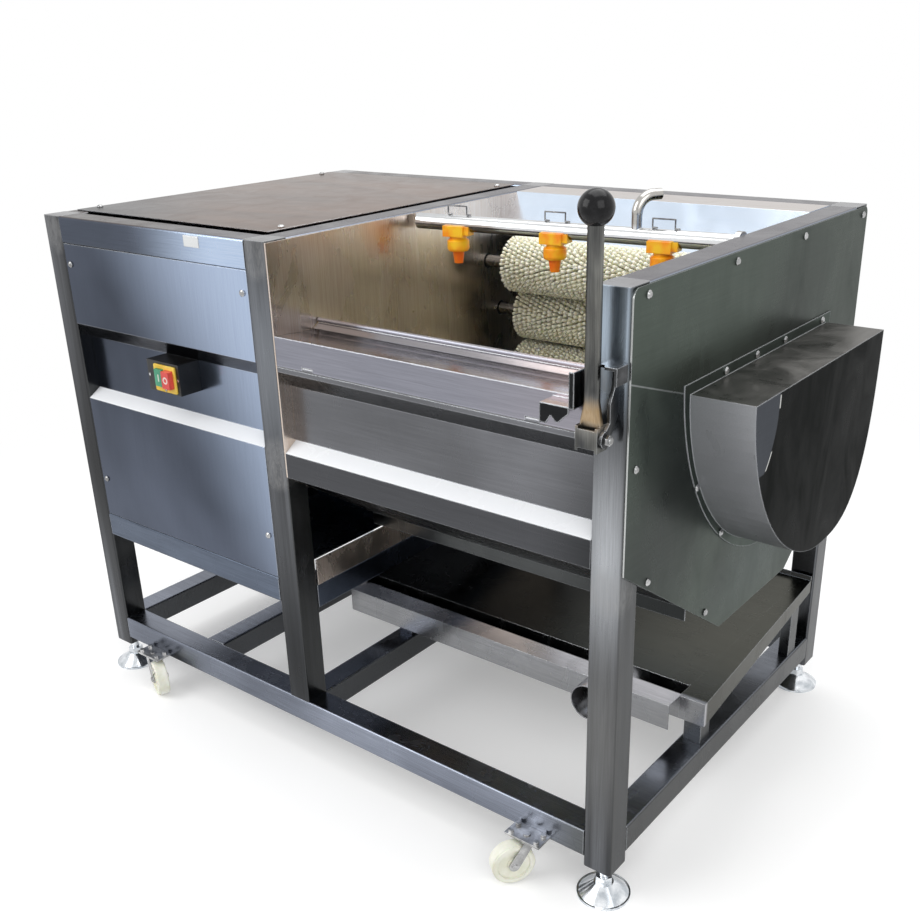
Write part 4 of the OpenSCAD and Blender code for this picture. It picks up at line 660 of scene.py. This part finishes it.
def bristle_roller(k):
    """Bundles stand on a staggered lattice. A point of a bundle is the axis plus its distance out, plus
    the bundle's half widths turned round it, plus a lean that grows with the square of the distance.
    The lean is a slow wave over the roller plus a little chance."""
    low, high = (np.array(corner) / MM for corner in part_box(f"roller_core_{k}"))
    box_low, box_high = (np.array(corner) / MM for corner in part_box(f"brush_{k}"))
    axis = (low + high)[1:] / 2
    length = box_high[0] - box_low[0]
    dice = np.random.default_rng(SEED + k)
    i, j = (a.ravel() for a in np.meshgrid(np.arange(ROWS), np.arange(ROUND), indexing="ij"))
    n = len(i)
    angle = 2 * np.pi * (j + 0.5 * (i % 2)) / ROUND + dice.normal(0, 0.01, n)
    wave = np.sin(i * 0.41 + 1.7 * k) + np.sin(i * 0.23 + 2 * angle + k)
    lean_x = LEAN_ALONG + LEAN_WAVE * wave + PAIRING * (1 - 2 * (j % 2)) + dice.normal(0, 0.5, n)
    lean_t = LEAN_ROUND + LEAN_WAVE * np.cos(i * 0.31 + 3 * angle - k) + dice.normal(0, 0.6, n)
    x = box_low[0] + length * (i + 0.5) / ROWS - ROOT_SHIFT * lean_x
    trim = dice.uniform(-TRIM, 0.0, n)
    share = (TUFT_AT - TUFT_AT[0]) / (TUFT_AT[-1] - TUFT_AT[0])
    side = 2 * np.pi * np.arange(TUFT_SIDES) / TUFT_SIDES
    out = TUFT_AT[None, :, None] + trim[:, None, None] * share[None, :, None] + 0 * side
    spin = dice.uniform(0, 1, n)[:, None, None]
    bulk = dice.normal(1.0, 0.07, n).clip(0.85, 1.15)[:, None, None]
    ring_x = bulk * TUFT_X[None, :, None] * np.cos(side + spin) + (
        lean_x[:, None, None] * share[None, :, None] ** 2)
    ring_t = bulk * TUFT_T[None, :, None] * np.sin(side + spin) + (
        lean_t[:, None, None] * share[None, :, None] ** 2)
    out = np.minimum(out, np.sqrt(np.maximum(TIP_LIMIT ** 2 - ring_t ** 2, 0)))
    ring_x = np.clip(x[:, None, None] + ring_x, box_low[0] + END_GAP, box_high[0] - END_GAP)
    rows = len(TUFT_AT)
    tip_x, tip_t = ring_x[:, -1].mean(1), ring_t[:, -1].mean(1)
    ends_out = np.stack([np.full(n, TUFT_AT[0]), out[:, -1].mean(1) + TIP_DOME], 1)
    ends_x = np.stack([x, tip_x], 1)
    ends_t = np.stack([np.zeros(n), tip_t], 1)
    out, ring_x, ring_t = (np.concatenate((a.reshape(n, -1), b), 1) for a, b in (
        (out, ends_out), (ring_x, ends_x), (ring_t, ends_t)))
    c, s = np.cos(angle)[:, None], np.sin(angle)[:, None]
    points = np.stack([ring_x, axis[0] + out * c - ring_t * s, axis[1] + out * s + ring_t * c], -1)
    one = len(out[0])
    quads = grid_faces(rows, TUFT_SIDES)[:, ::-1]
    a = np.arange(TUFT_SIDES)
    b = (a + 1) % TUFT_SIDES
    tip = rows * TUFT_SIDES + 1
    caps = np.concatenate([
        np.stack([a, b, np.full(TUFT_SIDES, tip - 1)], 1),
        np.stack([b + (rows - 1) * TUFT_SIDES, a + (rows - 1) * TUFT_SIDES,
                  np.full(TUFT_SIDES, tip)], 1)])
    step = (np.arange(n) * one)[:, None, None]
    quads = (quads[None] + step).reshape(-1, 4)
    caps = (caps[None] + step).reshape(-1, 3)
    reach = np.concatenate([np.repeat(share, TUFT_SIDES), [0, 1]])
    reach = np.broadcast_to(reach, (n, one)).ravel()
    turn = np.concatenate([np.tile(np.abs(np.arange(TUFT_SIDES) / TUFT_SIDES - 0.5), rows), [0, 0.2]])
    turn = np.broadcast_to(turn, (n, one)).ravel()
    own = np.repeat(np.clip(dice.normal(0.6, 0.25, n), 0, 1), one)
    ring = 2 * np.pi * np.arange(SLEEVE_SIDES) / SLEEVE_SIDES
    profile = np.array([(0, SLEEVE_BORE), (0, SLEEVE_R), (length, SLEEVE_R), (length, SLEEVE_BORE)])
    tube = np.stack([box_low[0] + profile[:, :1] + 0 * ring,
                     axis[0] + profile[:, 1:] * np.cos(ring),
                     axis[1] + profile[:, 1:] * np.sin(ring)], -1).reshape(-1, 3)
    walls = grid_faces(len(profile) + 1, SLEEVE_SIDES)[:, ::-1] % len(tube)
    count = len(tube)
    points = np.concatenate([tube, points.reshape(-1, 3)]) * MM
    reach, own, turn = (np.concatenate([np.full(count, value), array]) for value, array in (
        (0.1, reach), (0.4, own), (0.3, turn)))
    piece = sheet_of(f"bristles_{k}", points, [walls, quads + count, caps + count], bristle,
                     f"roller_{k}", {"reach": reach, "own": own, "turn": turn})
    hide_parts(f"brush_{k}")


for k in ROLLERS:
    bristle_roller(k)

# Roller shafts, drive pulleys and the motor pulley. Turned stainless bar and discs, with fine rings
# left by the lathe.
shaft_steel = steel("shaft_steel", linear(110), linear(165), 0.24, "x", 0.2, 9.0)
coat(shaft_steel, *[f"roller_core_{k}" for k in ROLLERS], "motor_pulley")

# Flange bearings. Cast iron housings under dark enamel, whose skin still shows the sand's pits and
# thins to a paler tone in slow patches.
housing, tree, shader, place = finish("housing_enamel", 0.0, 0.5)
pits = noise(tree, place, 240, 4, (1, 1, 1), 0.6)
cast = ramp(tree, noise(tree, place, 30, 3), 0.35, 0.65)
tone = blend_of(tree, cast, (0.03, 0.035, 0.04), (0.07, 0.08, 0.09))
tree.links.new(tone, shader.inputs["Base Color"])
relief(tree, shader, pits, 0.0003)
coat(housing, "bearings")

# Drive belts. Black rubber with a weave of fabric on the outside, drawn out along the belt and paler
# where its threads stand up.
rubber, tree, shader, place = finish("belt_rubber", 0.0, 0.65)
weave = noise(tree, place, 700, 2, (1, 0.2, 1))
tone = blend_of(tree, weave, (0.012, 0.012, 0.012), (0.05, 0.05, 0.05))
tree.links.new(tone, shader.inputs["Base Color"])
relief(tree, shader, weave, 0.0002)
coat(rubber, "loop_belt", "transfer_belt", "motor_belt")

# Motor. An aluminium body under blue-grey paint, with dust in slow patches and the fine texture that a
# spray gun leaves.
motor_paint, tree, shader, place = finish("motor_paint", 0.0, 0.38)
dust = ramp(tree, noise(tree, place, 18, 4), 0.4, 0.7)
tone = blend_of(tree, dust, (0.045, 0.09, 0.15), (0.09, 0.14, 0.20))
tree.links.new(tone, shader.inputs["Base Color"])
relief(tree, shader, noise(tree, place, 420, 3), 0.0002)
coat(motor_paint, "motor")

# Gate. A polished ledge of folded sheet that tips forwards on pins in its lower edge, with a cheek at
# its right end and a bent keeper. Light is painted into its tones: a warm painted reflection grows
# towards its right end, front faces are painted a bluish grey as reflection, and the cheek's right
# face, the undersides and the keeper's front plate are painted dark as shade.


def keeper_front_shade(tree, place, normal, tone):
    """Painted shade: the keeper's front plate and the cheek are darkened."""
    share = sum_of(tree, "MULTIPLY", ramp(tree, dot_of(tree, normal, FRONT), *FACING),
                   onward(tree, place, (0, -14, 0), (0, -24, 0)))
    return blend_of(tree, share, tone, linear(40, 41, 42))


gate_steel = steel(
    "gate_steel", linear(116, 114, 116), linear(158, 154, 156), 0.16, "x", 0.1, 5.0, (0.3, 1, 1),
    shades=[((-330, 50, 780), (-60, 50, 780), linear(190, 172, 166), 0.8)],
    sides=[(FRONT, *FACING, linear(140, 142, 154), 0.8),
           (RIGHT_SIDE, *FACING, linear(34, 35, 36), 0.95),
           (DOWN, *FACING, linear(40), 0.9)], wear_and_highlight=0.85, edge=0.0028, extra=keeper_front_shade)
coat(gate_steel, "gate")

# Lever. A bar of drawn steel, flattened and welded to a clevis, with a straw tint where the weld's heat
# ran up it and a painted highlight near its lower end; a bolt through clevis and lug; a bent stop
# bracket, whose dark tones are painted shade and whose top faces are painted pale as lit; a glossy ball
# knob.
# A painted highlight brightens the bar near its lower end.
bar_steel = steel("bar_steel", linear(70, 71, 72), linear(116, 116, 112), 0.3, "z", 0.35, 26.0,
                  (1, 1, 0.25), spots=[((-32, -50, 770), (60, 60, 40), linear(168, 166, 160), 0.8)])
HEAT_LOW, HEAT_HIGH = (0.812, 0.826), (0.858, 0.840)   # heights where the tint comes and goes
HEAT_SHARE, HEAT_WANDER = 0.55, 0.006
tree = bar_steel.node_tree
shader = tree.nodes["Principled BSDF"]
place = node(tree, "TexCoord").outputs["Object"]
high = node(tree, "SeparateXYZ")
tree.links.new(place, high.inputs[0])
wavy = sum_of(tree, "ADD", high.outputs["Z"],
              ramp(tree, noise(tree, place, 60, 2), 0, 1, -HEAT_WANDER, HEAT_WANDER))
heat = sum_of(tree, "MULTIPLY", ramp(tree, wavy, *HEAT_LOW), ramp(tree, wavy, *HEAT_HIGH))
was = shader.inputs["Base Color"].links[0].from_socket
tone = blend_of(tree, sum_of(tree, "MULTIPLY", heat, HEAT_SHARE), was, linear(176, 140, 84))
tree.links.new(tone, shader.inputs["Base Color"])
coat(bar_steel, "lever_arm")
bright_steel = steel("bright_steel", linear(130), linear(200), 0.16, "x", 0.12, 30.0)
# The stop bracket's dark tones are painted shade, and its top faces are painted pale as lit.
shaded_bracket_steel = steel("shaded_bracket_steel", linear(52, 53, 54), linear(92, 93, 95), 0.24, "z", 0.2, 22.0,
                      sides=[(UP, *FACING, linear(196, 196, 198), 0.9)], wear_and_highlight=0.8)
coat(bright_steel, "lever_bolt", "panel_screws")
coat(shaded_bracket_steel, "lever_bracket")

knob, tree, shader, place = finish("knob_plastic", 0.0, 0.12)
scuff = noise(tree, place, 90, 5, (1, 1, 1), 0.65)
tone = blend_of(tree, ramp(tree, scuff, 0.45, 0.75), (0.006, 0.006, 0.007), (0.022, 0.022, 0.024))
tree.links.new(tone, shader.inputs["Base Color"])
tree.links.new(ramp(tree, scuff, 0.4, 0.8, 0.08, 0.3), shader.inputs["Roughness"])
shader.inputs["Specular IOR Level"].default_value = 0.22
relief(tree, shader, scuff, 0.00008)
coat(knob, "lever_knob")

# Spray pipe. Polished stainless tube with a welded cap and an elbow for the hose; the elbow is a
# little greyer, and the tube's underside is painted dark as a reflection of the dark trough.
pipe_steel = steel("pipe_steel", linear(196, 198, 200), linear(236, 237, 238), 0.12, "x", 0.06, 10.0,
                   (0.2, 1, 1), shades=[((0, 0, 932), (0, 0, 940), linear(178, 175, 170), 0.9)],
                   sides=[(DOWN, 0.2, 0.8, linear(70, 70, 72), 0.9)])
coat(pipe_steel, "spray_pipe")

# Nozzles. Moulded plastic: amber clamp halves and ball nuts, orange tips; each is held on the pipe by
# a clip of spring wire.


def moulded(name, low, high, rough=0.35):
    """Moulded plastic: a slow drift between two near tones, a fine orange-peel skin and a little light
    carried inside."""
    made, tree, shader, place = finish(name, 0.0, rough)
    drift = ramp(tree, noise(tree, place, 40, 3), 0.35, 0.65)
    tree.links.new(blend_of(tree, drift, low, high), shader.inputs["Base Color"])
    shader.inputs["Subsurface Weight"].default_value = 0.1
    shader.inputs["Subsurface Radius"].default_value = (0.004, 0.002, 0.001)
    skin = noise(tree, place, 900, 2)
    tree.links.new(ramp(tree, skin, 0.3, 0.7, rough * 0.85, rough * 1.2), shader.inputs["Roughness"])
    relief(tree, shader, skin, 0.00006, 0.0016)
    return made


coat(moulded("nozzle_yellow", linear(255, 146, 12), linear(255, 200, 32)), "nozzle_bodies")
coat(moulded("nozzle_orange", linear(244, 96, 16), linear(252, 140, 24)), "nozzle_tips")
coat(steel("wire_steel", linear(84, 84, 88), linear(150), 0.25, "x", 0.1, 60.0), "nozzle_clips")

# Switch. A black box on the door's step with a yellow face and two push buttons, which carry the usual
# stroke for start and ring for stop.
coat(moulded("box_black", linear(10), linear(26), 0.3), "switch_box")
coat(moulded("face_yellow", linear(232, 190, 60), linear(246, 214, 96)), "switch_face")


def marked(name, low, high, mark):
    """A moulded button with its mark printed on the front in pale ink; the mark gives its share at a
    place from how far it lies right of the button's middle and above it."""
    made = moulded(name, low, high)
    tree = made.node_tree
    shader = tree.nodes["Principled BSDF"]
    middle = [sum(pair) / 2 for pair in zip(*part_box(name))]
    parts = node(tree, "SeparateXYZ")
    tree.links.new(node(tree, "TexCoord").outputs["Object"], parts.inputs[0])
    right = sum_of(tree, "SUBTRACT", parts.outputs["X"], middle[0])
    above = sum_of(tree, "SUBTRACT", parts.outputs["Z"], middle[2])
    front = ramp(tree, dot_of(tree, node(tree, "TexCoord").outputs["Normal"], FRONT), 0.8, 0.95)
    share = sum_of(tree, "MULTIPLY", sum_of(tree, "MULTIPLY", mark(tree, right, above), front), 0.75)
    was = shader.inputs["Base Color"].links[0].from_socket
    tree.links.new(blend_of(tree, share, was, linear(240, 236, 226)), shader.inputs["Base Color"])
    coat(made, name)


STROKE_HALF, STROKE_REACH = (0.0019, 0.0013), (0.0072, 0.0064)   # from their soft ends inwards
RING_R, RING_HALF = 0.0052, (0.0018, 0.0012)


def bar_mark(tree, right, above):
    """An upright stroke."""
    wide = ramp(tree, sum_of(tree, "ABSOLUTE", right, 0), *STROKE_HALF)
    return sum_of(tree, "MULTIPLY", wide,
                  ramp(tree, sum_of(tree, "ABSOLUTE", above, 0), *STROKE_REACH))


def ring_mark(tree, right, above):
    """A ring."""
    far = sum_of(tree, "SQRT", sum_of(tree, "ADD", sum_of(tree, "MULTIPLY", right, right),
                                      sum_of(tree, "MULTIPLY", above, above)), 0)
    return ramp(tree, sum_of(tree, "ABSOLUTE", sum_of(tree, "SUBTRACT", far, RING_R), 0), *RING_HALF)


marked("start_button", linear(52, 138, 104), linear(84, 168, 132), bar_mark)
marked("stop_button", linear(196, 52, 52), linear(224, 84, 78), ring_mark)

# Drain tray. Folded sheet on welded blocks, with a gutter, a side box and a round spout. The trough's
# shade is painted into its near-black tones, and its rear, front flange, front faces and side box are
# painted pale as lit.
# Near-black tones are painted shade; the rear, flange, front faces and side box are painted pale.
tray_steel = steel(
    "tray_steel", linear(14, 15, 14), linear(30, 31, 29), 0.24, "x", 0.12, 2.6, (0.7, 1, 1),
    shades=[((-420, 600, 180), (-40, 500, 160), linear(84, 84, 78), 0.9),
            ((-400, 326, 150), (-400, 318, 150), linear(190, 189, 193), 0.9)],
    spots=[((-60, 60, 150), (90, 90, 80), linear(214, 210, 204), 0.9)],
    sides=[(FRONT, 0.6, 0.9, linear(150, 152, 154), 0.7)], wear_and_highlight=0.7)
coat(tray_steel, "tray")
coat(rail_steel, "tray_blocks")

# Levelling feet. Chromed steel cones on stems, bright, with fine rings left by turning and slow
# dull patches.
chrome = steel("foot_chrome", linear(190, 196, 202), linear(244, 247, 250), 0.14, "z", 0.1, 40.0)
coat(chrome, "foot_front_left", "foot_front_right", "foot_rear_left", "foot_rear_right")

# Casters. Zinc-plated plates and forks with a dull, streaked sheen, and cream nylon wheels that carry
# a little light inside.
zinc = steel("caster_zinc", linear(142), linear(205), 0.32, "x", 0.1, 45.0)
coat(zinc, "caster_plates", "caster_fork_left", "caster_fork_right")
coat(moulded("wheel_nylon", linear(232, 232, 214), linear(248, 248, 236), 0.4), "caster_wheel_left",
     "caster_wheel_right")
